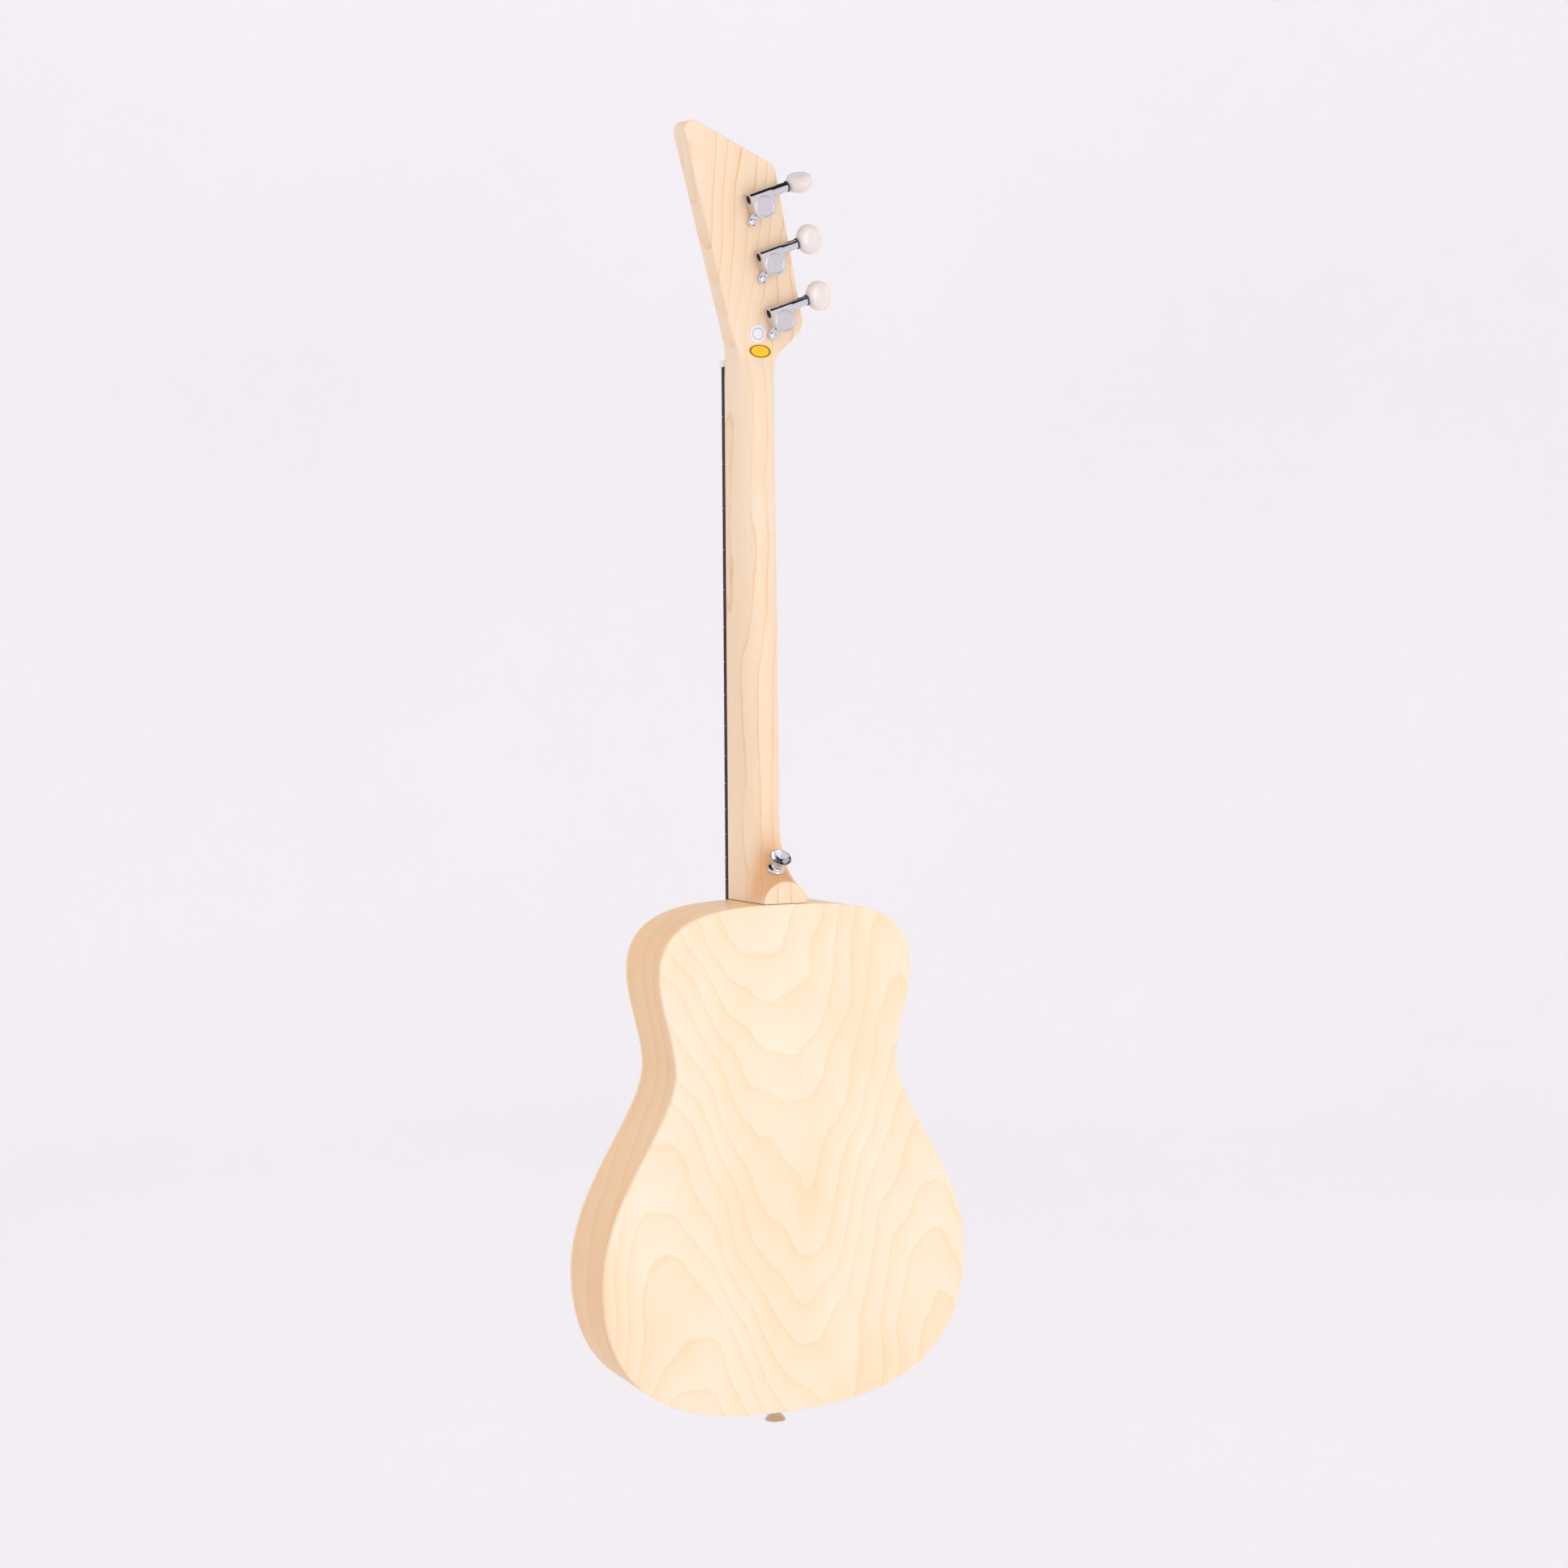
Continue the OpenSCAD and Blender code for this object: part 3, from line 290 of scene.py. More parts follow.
def maple_neck():
    """The heel's sweep gets a painted shade, warmer and darker, where less light falls on it."""
    def figure(graph, place):
        return ring_figure(graph, place, (70, -46), (0.02, -0.05), 8.5, 38.0)
    material = wood("maple_neck", colour(251, 230, 202), colour(248, 213, 170), colour(232, 160, 88), figure,
                    shine=0.46, line_share=0.5, patch=40)
    graph = Graph(material.name, material)
    place = graph.places()
    _, y, z = graph.xyz(place)
    low, high = box_mm("neck")
    cap = high[1] - BUTTON_DEPTH
    # Painted shade over the heel's sweep: it fades in above the cap, fades out up the shaft and stops short
    # of the cap's face
    z = graph.math("MULTIPLY_ADD", graph.noise(place, 14, 3, 0.6), 12.0, z)
    painted_shade = graph.math("MULTIPLY", graph.map(z, low[2] + 4, low[2] + 14, smooth=True),
                      graph.map(z, low[2] + 40, low[2] + 76, 1.0, 0.0, smooth=True))
    painted_shade = graph.math("MULTIPLY", painted_shade, graph.map(y, -9.0, 5.0, smooth=True))
    painted_shade = graph.math("MULTIPLY", painted_shade, graph.map(y, cap - 1.0, cap - 0.3, 1.0, 0.0))
    plain = graph.shader.inputs["Base Color"].links[0].from_socket
    return graph.set(Base_Color=graph.mix(graph.math("MULTIPLY", painted_shade, 0.7), plain, colour(234, 164, 84)))


def spruce_top():
    def figure(graph, place):
        x = graph.xyz(place)[0]
        sway = graph.noise(place, 90, 2, 0.5, (1, 1, 4))
        return graph.math("DIVIDE", graph.math("MULTIPLY_ADD", sway, 9.0, x), 2.1)
    return wood("spruce_top", colour(252, 232, 196), colour(246, 214, 160), colour(224, 176, 112), figure,
                line_share=0.5)


def inner_spruce():
    def figure(graph, place):
        x, y, _ = graph.xyz(place)
        return graph.math("DIVIDE", graph.math("ADD", x, y), 2.4)
    return wood("inner_spruce", colour(240, 218, 182), colour(228, 196, 150), colour(205, 165, 118), figure,
                shine=0.6, line_share=0.4)


def rosewood():
    graph = Graph("rosewood")
    place = graph.places()
    band = graph.noise(place, 3.2, 5, 0.62, (1, 1, 26))
    streak = graph.noise(place, 0.7, 3, 0.6, (1, 1, 30))
    pore = graph.map(graph.noise(place, 0.5, 2, 0.5, (1, 1, 9)), 0.62, 0.7, 0.0, 1.0)
    base = graph.mix(graph.map(band, 0.35, 0.65), colour(32, 7, 13), colour(60, 18, 24))
    base = graph.mix(graph.math("MULTIPLY", graph.map(streak, 0.4, 0.7), 0.5), base, colour(30, 13, 15))
    base = graph.mix(graph.math("MULTIPLY", pore, 0.7), base, colour(16, 8, 8))
    depth = graph.math("MULTIPLY_ADD", pore, -1.0, streak)
    return graph.set(Base_Color=base, Roughness=graph.map(streak, 0.3, 0.7, 0.34, 0.5),
                     Normal=graph.bump(depth, 0.04, 0.5), IOR=1.5, Specular_IOR_Level=0.15)


def metal(name, tint, rough, smudge=0.06, brushed=None):
    """Polished or drawn metal with faint smudges, and fine draw lines where brushed is given."""
    graph = Graph(name)
    place = graph.places()
    haze = graph.noise(place, 4, 3, 0.6)
    fine = graph.noise(place, brushed[0], 2, 0.5, brushed[1]) if brushed else graph.noise(place, 0.35, 2, 0.5)
    base = graph.mix(graph.math("MULTIPLY", graph.map(haze, 0.35, 0.65), 0.35), tint,
                     tuple(0.9 * c for c in tint[:3]) + (1.0,))
    return graph.set(Base_Color=base, Metallic=1.0,
                     Roughness=graph.map(haze, 0.3, 0.7, rough, rough + smudge),
                     Normal=graph.bump(fine, 0.004 if not brushed else 0.01, 0.25))


def wound_metal(name, tint, pitch, axis):
    """A wound string: the wrap shows as fine rings across its length, with painted shade in the grooves
    between turns.
    """
    graph = Graph(name)
    place = graph.places()
    along = graph.xyz(place)[axis]
    ridge = graph.math("ABSOLUTE", graph.math("SINE", graph.math("MULTIPLY", along, math.pi / pitch)))
    # Painted shade: the colour falls to under half its tint in the grooves between the turns
    base = graph.mix(ridge, tuple(0.45 * c for c in tint[:3]) + (1.0,), tint)
    return graph.set(Base_Color=base, Metallic=1.0, Roughness=graph.map(ridge, 0.0, 1.0, 0.42, 0.26),
                     Normal=graph.bump(ridge, 0.05, 0.8))


def bone():
    graph = Graph("bone")
    place = graph.places()
    cloud = graph.noise(place, 3, 3, 0.6, (1, 1, 2))
    grain = graph.noise(place, 0.4, 2, 0.6, (4, 1, 1))
    base = graph.mix(graph.map(cloud, 0.3, 0.7), colour(246, 243, 236), colour(236, 229, 214))
    return graph.set(Base_Color=base, Roughness=graph.map(grain, 0.3, 0.7, 0.3, 0.42),
                     Normal=graph.bump(grain, 0.01, 0.3), Subsurface_Weight=0.15, Subsurface_Scale=0.002)


def pearl(name, light, shade):
    """Pearly plastic: soft swirls of two tones under a clear gloss."""
    graph = Graph(name)
    place = graph.places()
    warp = graph.noise(place, 9, 2, 0.5)
    push = graph.node("ShaderNodeCombineXYZ", {0: graph.math("MULTIPLY", warp, 14.0),
                                               1: graph.math("MULTIPLY", warp, 9.0)})
    swirl = graph.noise(graph.vector("ADD", place, push.outputs[0]), 5, 3, 0.55)
    base = graph.mix(graph.map(swirl, 0.32, 0.68, smooth=True), light, shade)
    fine = graph.noise(place, 0.6, 2, 0.5)
    return graph.set(Base_Color=base, Roughness=graph.map(swirl, 0.3, 0.7, 0.2, 0.32), IOR=1.5,
                     Subsurface_Weight=0.25, Subsurface_Scale=0.003, Coat_Weight=0.5, Coat_Roughness=0.08,
                     Normal=graph.bump(fine, 0.003, 0.2))


def dark_washer():
    graph = Graph("dark_washer")
    place = graph.places()
    fine = graph.noise(place, 0.4, 3, 0.6)
    base = graph.mix(graph.map(fine, 0.3, 0.7), colour(38, 40, 52), colour(62, 64, 80))
    return graph.set(Base_Color=base, Roughness=graph.map(fine, 0.3, 0.7, 0.35, 0.5),
                     Normal=graph.bump(fine, 0.01, 0.4))


def rosette_inlay(centre_z):
    """Thin rings of dark and pale wood, drawn by their distance from the sound hole's centre."""
    graph = Graph("rosette_inlay")
    place = graph.places()
    x, _, z = graph.xyz(place)
    up = graph.math("SUBTRACT", z, centre_z)
    radius = graph.hypot(x, up)
    inner_edge = box_mm("rosette")[1][0] - 3
    lines = []
    for at, half in ((0.3, 0.22), (1.5, 0.5), (2.7, 0.22)):
        off = graph.math("ABSOLUTE", graph.math("SUBTRACT", radius, inner_edge + at))
        lines.append(graph.map(off, half, half + 0.06, 1.0, 0.0))
    dark = graph.math("MAXIMUM", graph.math("MAXIMUM", lines[0], lines[1]), lines[2])
    grain = graph.noise(place, 0.8, 3, 0.6)
    pale = graph.mix(graph.map(grain, 0.3, 0.7), colour(240, 222, 190), colour(226, 200, 160))
    deep = graph.mix(graph.map(grain, 0.3, 0.7), colour(30, 20, 18), colour(56, 36, 30))
    return graph.set(Base_Color=graph.mix(dark, pale, deep), Roughness=graph.map(grain, 0.3, 0.7, 0.36, 0.46),
                     Normal=graph.bump(grain, 0.01, 0.3))


SOUND_HOLE_Z = (box_mm("rosette")[0][2] + box_mm("rosette")[1][2]) / 2
MATERIALS = {
    "back_wood": maple_back(),
    "side_wood": maple_side(),
    "neck_wood": maple_neck(),
    "top_wood": spruce_top(),
    "inner_wood": inner_spruce(),
    "rosewood": rosewood(),
    "bone": bone(),
    "pearl": pearl("pearl_dots", colour(240, 240, 236), colour(204, 208, 214)),
    "knob_plastic": pearl("knob_plastic", colour(241, 233, 228), colour(235, 224, 217)),
    "fret_steel": metal("fret_steel", colour(214, 214, 218), 0.16),
    "steel": metal("steel", colour(198, 198, 204), 0.22),
    "chrome": metal("chrome", colour(222, 219, 224), 0.05, 0.05),
    # Painted shade: a near-black steel for the worm shafts, so that the holes they run through look dark
    "painted_shade_steel": metal("painted_shade_steel", colour(58, 54, 56), 0.3),
    "brass": metal("brass", colour(222, 186, 110), 0.2),
    "plain_string": metal("plain_string", colour(216, 216, 220), 0.2, 0.05, (0.2, (1, 1, 40))),
    "wound_string": wound_metal("wound_string", colour(214, 178, 122), 0.16, 2),
    "dark_washer": dark_washer(),
    "rosette": rosette_inlay(SOUND_HOLE_Z),
}

# ---------------- mesh tools

WELD = 0.0005 * MM
SHARP = 32

def tidy(mesh):
    """Joins vertices that meet and turns every face outwards."""
    bm = bmesh.new()
    bm.from_mesh(mesh)
    bmesh.ops.remove_doubles(bm, verts=bm.verts, dist=WELD)
    bmesh.ops.dissolve_degenerate(bm, edges=bm.edges, dist=WELD)
    bmesh.ops.recalc_face_normals(bm, faces=bm.faces)
    bm.to_mesh(mesh)
    bm.free()


def piece(name, points, faces, slot, body=BODY, replaces=(), sharp=SHARP):
    """A mesh from points in millimetres, smooth but for edges sharper than sharp degrees."""
    mesh = bpy.data.meshes.new(name)
    mesh.from_pydata(world(points).tolist(), [], [tuple(int(i) for i in face) for face in faces])
    tidy(mesh)
    obj = add_object(name, mesh)
    dress(obj, slot, sharp)
    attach(obj, body)
    if replaces:
        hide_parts(*replaces)
    return obj


def dress(obj, slot, sharp=SHARP):
    obj.data.materials.clear()
    obj.data.materials.append(MATERIALS[slot])
    obj.data.shade_smooth()
    obj.data.set_sharp_from_angle(angle=math.radians(sharp))


def bands(count, rows, closed=True):
    """Quads that join rows of count points each, one row after another."""
    last = count if closed else count - 1
    return [
        (r * count + i, r * count + (i + 1) % count, (r + 1) * count + (i + 1) % count, (r + 1) * count + i)
        for r in range(rows - 1) for i in range(last)
    ]


class Shape:
    """Collects points and faces of one piece."""

    def __init__(self):
        self.points = []
        self.faces = []

    def add(self, points, faces):
        base = len(self.points)
        self.points += [tuple(p) for p in points]
        self.faces += [tuple(i + base for i in face) for face in faces]

    def rings(self, rings, closed=True):
        """Joins rings of equal length, each a list of 3-D points."""
        self.add([p for ring in rings for p in ring], bands(len(rings[0]), len(rings), closed))

    def cap(self, ring):
        self.add(ring, [tuple(range(len(ring)))])

    def rod(self, rings):
        """Rings closed by a cap at each end."""
        self.rings(rings)
        self.cap(rings[0])
        self.cap(rings[-1])


def round_angles(count):
    return np.arange(count) * 2 * math.pi / count


def inside(points, loop):
    """Which of the 2-D points lie inside the loop."""
    x, y = points[:, 0], points[:, 1]
    hit = np.zeros(len(points), bool)
    for (x0, y0), (x1, y1) in zip(loop, np.roll(loop, -1, axis=0)):
        if y0 != y1:
            crosses = (y0 > y) != (y1 > y)
            hit ^= crosses & (x < (x1 - x0) * (y - y0) / (y1 - y0) + x0)
    return hit


def fill(outer, holes=(), spacing=9.0):
    """Triangles over a flat outline with holes: 2-D points and faces, with a grid of points inside."""
    loops = [np.asarray(outer, float)] + [np.asarray(h, float) for h in holes]
    low, high = loops[0].min(0), loops[0].max(0)
    ticks = [np.arange(low[k], high[k], spacing) for k in (0, 1)]
    grid = np.stack(np.meshgrid(*ticks), -1).reshape(-1, 2) + spacing / 2
    rims = np.concatenate(loops)
    near = np.array([np.min(np.sum((rims - g) ** 2, 1)) for g in grid]) < (0.5 * spacing) ** 2
    keep = inside(grid, loops[0]) & ~near
    for hole in loops[1:]:
        keep &= ~inside(grid, hole)
    points = []
    edges = []
    for loop in loops:
        base = len(points)
        points += loop.tolist()
        edges += [(base + i, base + (i + 1) % len(loop)) for i in range(len(loop))]
    points += grid[keep].tolist()
    made, _, faces, _, _, _ = delaunay_2d_cdt([Vector(p) for p in points], edges, [], 0, 1e-6)
    made = np.array([tuple(p) for p in made])
    faces = np.array([f for f in faces if len(f) == 3])
    middle = made[faces].mean(1)
    wanted = inside(middle, loops[0])
    for hole in loops[1:]:
        wanted &= ~inside(middle, hole)
    return made, faces[wanted]


def circle(x, z, radius, count=64):
    turn = round_angles(count)
    return np.stack([x + radius * np.cos(turn), z + radius * np.sin(turn)], 1)


def at_depth(flat, y):
    """2-D points in x and z, set at depth y."""
    flat = np.asarray(flat, float)
    return np.stack([flat[:, 0], np.full(len(flat), float(y)), flat[:, 1]], 1)


# ---------------- body

PLATE_LOW, PLATE_HIGH = box_mm("back_plate")
BODY_LENGTH = PLATE_HIGH[2]
LOWER_HALF = PLATE_HIGH[0]
BODY_DEPTH = PLATE_HIGH[1]
BACK_IN = PLATE_LOW[1]
TOP_T = box_mm("soundboard")[1][1]
WAIST_HALF = 71.0
UPPER_HALF = 80.75
SIDE_T = 2.2
LOWER_Z = 0.2855 * BODY_LENGTH
WAIST_Z = 0.684 * BODY_LENGTH
UPPER_Z = 0.87 * BODY_LENGTH
CURVE_STEPS = 40
EDGE_R = 0.9
SOUND_HOLE_R = 34.0
ROSETTE_R = (38.0, 41.0)
ROSETTE_T = 0.8
PIN_Z = 77.0
PIN_HOLE_R = 2.55
SADDLE_SPACING = 11.5
PIN_XS = [(2 - i) * SADDLE_SPACING for i in (1, 2, 3)]


def side_curves():
    """Four Bezier curves of the body's treble side, from tail to neck."""
    rise, up, end = WAIST_Z - LOWER_Z, UPPER_Z - WAIST_Z, BODY_LENGTH - UPPER_Z
    return np.array([
        [(0, 0), (0.433 * LOWER_HALF, 0), (LOWER_HALF, 0.087 * LOWER_Z), (LOWER_HALF, LOWER_Z)],
        [(LOWER_HALF, LOWER_Z), (LOWER_HALF, LOWER_Z + 0.418 * rise), (WAIST_HALF, WAIST_Z - 0.248 * rise),
         (WAIST_HALF, WAIST_Z)],
        [(WAIST_HALF, WAIST_Z), (WAIST_HALF, WAIST_Z + 0.289 * up), (UPPER_HALF, UPPER_Z - 0.317 * up),
         (UPPER_HALF, UPPER_Z)],
        [(UPPER_HALF, UPPER_Z), (UPPER_HALF, UPPER_Z + end), (0.436 * UPPER_HALF, BODY_LENGTH),
         (0, BODY_LENGTH)],
    ])


def half_outline(inset):
    """Points up the treble side, inset by a distance measured square to the outline."""
    points = []
    for p in side_curves():
        for t in np.arange(CURVE_STEPS) / CURVE_STEPS:
            at = (1 - t) ** 3 * p[0] + 3 * t * (1 - t) ** 2 * p[1]
            at = at + 3 * t * t * (1 - t) * p[2] + t ** 3 * p[3]
            run = (1 - t) ** 2 * (p[1] - p[0]) + 2 * t * (1 - t) * (p[2] - p[1]) + t * t * (p[3] - p[2])
            outward = np.array([run[1], -run[0]]) / np.hypot(*run)
            points.append(at - inset * outward)
    points.append((0, BODY_LENGTH - inset))
    return np.array(points)


def whole_outline(inset):
    half = half_outline(inset)
    return np.concatenate([half, half[-2:0:-1] * (-1, 1)])


def fillet(radius, steps=5):
    """Inset and drop pairs round a quarter circle, from a wall to a face."""
    turns = np.arange(steps + 1) * math.pi / 2 / steps
    return [(radius * (1 - math.cos(a)), radius * (1 - math.sin(a))) for a in turns]


def plate_wall(shape, outer, inner):
    """Edge of a plate: rounded at its outer face and slightly eased at its inner one."""
    step = 1 if outer > inner else -1
    rings = [(0.12, inner), (0, inner + step * 0.12)]
    rings += [(inset, outer - step * drop) for inset, drop in fillet(EDGE_R)]
    shape.rings([at_depth(whole_outline(inset), y) for inset, y in rings])


def make_back():
    shape = Shape()
    plate_wall(shape, BODY_DEPTH, BACK_IN)
    for inset, y in ((EDGE_R, BODY_DEPTH), (0.12, BACK_IN)):
        flat, faces = fill(whole_outline(inset))
        shape.add(at_depth(flat, y), faces)
    return piece("back_plate_panel", shape.points, shape.faces, "back_wood", replaces=["back_plate"])


def make_soundboard():
    """Soundboard with its sound hole, the seat of the rosette and the three pin holes."""
    shape = Shape()
    plate_wall(shape, 0, TOP_T)
    hole_z = SOUND_HOLE_Z
    pins = [circle(x, PIN_Z, PIN_HOLE_R, 24) for x in PIN_XS]
    groove = [(ROSETTE_R[1], 0), (ROSETTE_R[1], ROSETTE_T), (ROSETTE_R[0], ROSETTE_T), (ROSETTE_R[0], 0)]
    lip = [(SOUND_HOLE_R + inset, drop) for inset, drop in fillet(0.5, 3)[::-1]]
    shape.rings([at_depth(circle(0, hole_z, r, 160), y) for r, y in groove + lip + [(SOUND_HOLE_R, TOP_T)]])
    for pin in pins:
        shape.rings([at_depth(pin, 0), at_depth(pin, TOP_T)])
    flat, faces = fill(whole_outline(EDGE_R), [circle(0, hole_z, ROSETTE_R[1], 160), *pins])
    shape.add(at_depth(flat, 0), faces)
    flat, faces = fill(whole_outline(0.12), [circle(0, hole_z, SOUND_HOLE_R, 160), *pins])
    shape.add(at_depth(flat, TOP_T), faces)
    return piece("soundboard_panel", shape.points, shape.faces, "top_wood", replaces=["soundboard"])


def make_side(name, sign, node):
    """One bent side, with its edges eased where it meets the plates."""
    profile = [(0, TOP_T + 0.15), (0, BACK_IN - 0.15), (0.15, BACK_IN), (SIDE_T, BACK_IN), (SIDE_T, TOP_T),
               (0.15, TOP_T)]
    columns = [at_depth(half_outline(inset) * (sign, 1), y) for inset, y in profile]
    rows = np.stack(columns, 1)
    shape = Shape()
    shape.rod(list(rows))
    return piece(name, shape.points, shape.faces, "side_wood", replaces=[node])


make_back()
make_soundboard()
make_side("treble_rib", 1, "side_treble")
make_side("bass_rib", -1, "side_bass")

# ---------------- neck and headstock

NUT_Z = box_mm("nut")[0][2]
HEAD_Z = box_mm("nut")[1][2]
HEEL_Z = box_mm("neck")[0][2]
HEEL_CAP_Y = 50.0
CAP_EASE = 0.4
HEEL_DEPTH = 26.0
NUT_DEPTH = 21.0
HEAD_T = 16.0
HEAD_TILT = math.radians(8.5)
THROAT_Z = NUT_Z - 10
SWEEP_R = 39.5
SWEEP_Z = HEEL_Z + 48.7
SECTION_POWER = 2.5
WIDEST_CAP = 0.985
WALL_SHARE = 0.85
FRONT_R = 1.0
BACK_R = 1.2
BACK_STEPS = 30
ARC_STEPS = 14
THROAT_START = HEAD_Z - 24
HEAD_CORNERS = [(-14, -14), (-14, 3.6), (-29.4, 21.9), (-4.5, 112.8), (57.9, 137.7), (14, 5), (14, -14)]
HEAD_RADII = [9, 10, 5, 6, 30]
LOFT_END = 19.0
POST_NEAR = np.array([-12.0, 24.6])
POST_PITCH = 33.0
POST_SLOPE = math.radians(15)
SHAFT_SLOPE = math.radians(22)
POST_HOLE_R = 4.5


def smooth_step(low, high, value):
    share = min(max((value - low) / (high - low), 0.0), 1.0)
    return share * share * (3 - 2 * share)


def head_point(p, depth, s):
    """Across, behind the front face and up along the headstock, to this script's millimetres."""
    cos, sin = math.cos(HEAD_TILT), math.sin(HEAD_TILT)
    return np.array([p, depth * cos + s * sin, HEAD_Z - depth * sin + s * cos])


def head_path():
    """Outline of the headstock from its knob side over the top to its treble side, with normals."""
    corners = np.array(HEAD_CORNERS, float)
    path = [(corners[0], None)]
    for a, b, c, radius in zip(corners, corners[1:], corners[2:], HEAD_RADII):
        u = (a - b) / np.hypot(*(a - b))
        v = (c - b) / np.hypot(*(c - b))
        half = math.acos(u @ v) / 2
        centre = b + (u + v) / np.hypot(*(u + v)) * radius / math.sin(half)
        start = b + u * radius / math.tan(half) - centre
        end = b + v * radius / math.tan(half) - centre
        first = math.atan2(start[1], start[0])
        turn = (math.atan2(end[1], end[0]) - first + 3 * math.pi) % (2 * math.pi) - math.pi
        bulge = -1 if turn < 0 else 1
        for share in np.arange(ARC_STEPS + 1) / ARC_STEPS:
            ray = np.array([math.cos(first + turn * share), math.sin(first + turn * share)])
            path.append((centre + radius * ray, -bulge * ray))
    path.append((corners[-1], None))
    points = np.array([p for p, _ in path])
    normals = np.array([n if n is not None else (0, 0) for _, n in path])
    normals[0] = (-1, 0)
    normals[-1] = (1, 0)
    return points, normals


HEAD_POINTS, HEAD_NORMALS = head_path()


def edge_at(s, side):
    """Point and outward normal of the headstock's edge at height s; side is -1 for the knob side."""
    top = int(np.argmax(HEAD_POINTS[:, 1]))
    part = slice(0, top + 1) if side < 0 else slice(top, None)
    points, normals = HEAD_POINTS[part], HEAD_NORMALS[part]
    if side > 0:
        points, normals = points[::-1], normals[::-1]
    x = np.interp(s, points[:, 1], points[:, 0])
    normal = np.array([np.interp(s, points[:, 1], normals[:, k]) for k in (0, 1)])
    return np.array([x, s]), normal / np.hypot(*normal)


def wall_profile():
    """Inset and depth of the headstock's wall, from its front face to its back face."""
    front = [(inset, drop) for inset, drop in fillet(FRONT_R, 4)][::-1]
    flat = [(0.0, FRONT_R + (HEAD_T - BACK_R - FRONT_R) * k / 6) for k in range(1, 6)]
    back = [(inset, HEAD_T - drop) for inset, drop in fillet(BACK_R, 5)]
    return front + flat + back


WALL = wall_profile()


def ridge_y(z):
    """Depth of the shaft's ridge; it runs on past the heel cap's face, where it is cut off."""
    if z >= THROAT_Z:
        return NUT_DEPTH
    if z >= SWEEP_Z:
        return HEEL_DEPTH + (NUT_DEPTH - HEEL_DEPTH) * (z - SWEEP_Z) / (THROAT_Z - SWEEP_Z)
    cap_angle = math.acos(1 - (HEEL_CAP_Y - HEEL_DEPTH) / SWEEP_R)
    cap_top = SWEEP_Z - SWEEP_R * math.sin(cap_angle)
    if z >= cap_top:
        return HEEL_DEPTH + SWEEP_R - math.sqrt(SWEEP_R ** 2 - (SWEEP_Z - z) ** 2)
    cap = min(WIDEST_CAP, math.sqrt(1 - ((z - HEEL_Z) / (cap_top - HEEL_Z)) ** 2))
    return HEEL_CAP_Y / (1 - cap ** SECTION_POWER) ** (1 / SECTION_POWER)


def neck_row(t, ridge):
    """One closed ring at height t over the nut: treble wall, back, knob-side wall, front."""
    carved = 1 - smooth_step(-13, 14, t)
    tilt = HEAD_TILT * smooth_step(-20, 20, t) if t < LOFT_END else HEAD_TILT
    thinned = HEAD_T + (NUT_DEPTH - HEAD_T) * (1 - smooth_step(-16, 14, t))
    depth = ridge if t < THROAT_Z - HEAD_Z else thinned
    reach = min(WALL_SHARE * depth, HEEL_CAP_Y)
    front = head_point(0, 0, t) if t > 0 else np.array([0, 0, HEAD_Z + t])
    into = np.array([0, math.cos(tilt), -math.sin(tilt)])
    up = np.array([0, math.sin(HEAD_TILT), math.cos(HEAD_TILT)]) if t > 0 else np.array([0, 0, 1.0])

    def place(x, d, rise=0.0):
        return front + (x, 0, 0) + into * d + up * rise

    def carved_x(half, d):
        return half * max(1 - (d / depth) ** SECTION_POWER, 0.0) ** (1 / SECTION_POWER)

    walls, ends = {}, {}
    for side in (1, -1):
        edge, normal = edge_at(t, side)
        wall = []
        for inset, d in WALL:
            own = place(carved_x(edge[0], reach * d / HEAD_T), reach * d / HEAD_T)
            squared = place(edge[0] - inset * normal[0], d * depth / HEAD_T, -inset * normal[1])
            wall.append(own * carved + squared * (1 - carved))
        walls[side] = wall
        ends[side] = place(edge[0] - BACK_R * normal[0], depth, -BACK_R * normal[1])
    start = math.asin((reach / depth) ** (SECTION_POWER / 2))
    back = []
    for k in range(1, BACK_STEPS):
        share = k / BACK_STEPS
        theta = start + (math.pi - 2 * start) * share
        half = edge_at(t, 1)[0][0] if theta < math.pi / 2 else -edge_at(t, -1)[0][0]
        x = half * math.copysign(abs(math.cos(theta)) ** (2 / SECTION_POWER), math.cos(theta))
        own = place(x, depth * math.sin(theta) ** (2 / SECTION_POWER))
        squared = ends[1] * (1 - share) + ends[-1] * share
        back.append(own * carved + squared * (1 - carved))
    front_row = [walls[-1][0] * (1 - k / BACK_STEPS) + walls[1][0] * k / BACK_STEPS
                 for k in range(1, BACK_STEPS)]
    return walls[1] + back + walls[-1][::-1] + front_row


def row_heights():
    """Heights of the rings of the neck's loft, closest in the heel's sweep and the throat."""
    cap_angle = math.acos(1 - (HEEL_CAP_Y - HEEL_DEPTH) / SWEEP_R)
    cap_top = SWEEP_Z - SWEEP_R * math.sin(cap_angle)
    cap = [HEEL_Z + (cap_top - HEEL_Z) * math.sin(math.pi / 2 * k / 12) for k in range(12)]
    sweep = [SWEEP_Z - SWEEP_R * math.sin(cap_angle * (1 - k / 22)) for k in range(23)]
    shaft = list(np.linspace(SWEEP_Z, THROAT_START, 26))[1:]
    throat = list(np.linspace(THROAT_START, HEAD_Z + LOFT_END, 36))[1:]
    return cap + sweep + shaft + throat


def tuner_spot(i):
    """Centre of string post i on the headstock: across and up."""
    return POST_NEAR + (3 - i) * POST_PITCH * np.array([math.sin(POST_SLOPE), math.cos(POST_SLOPE)])


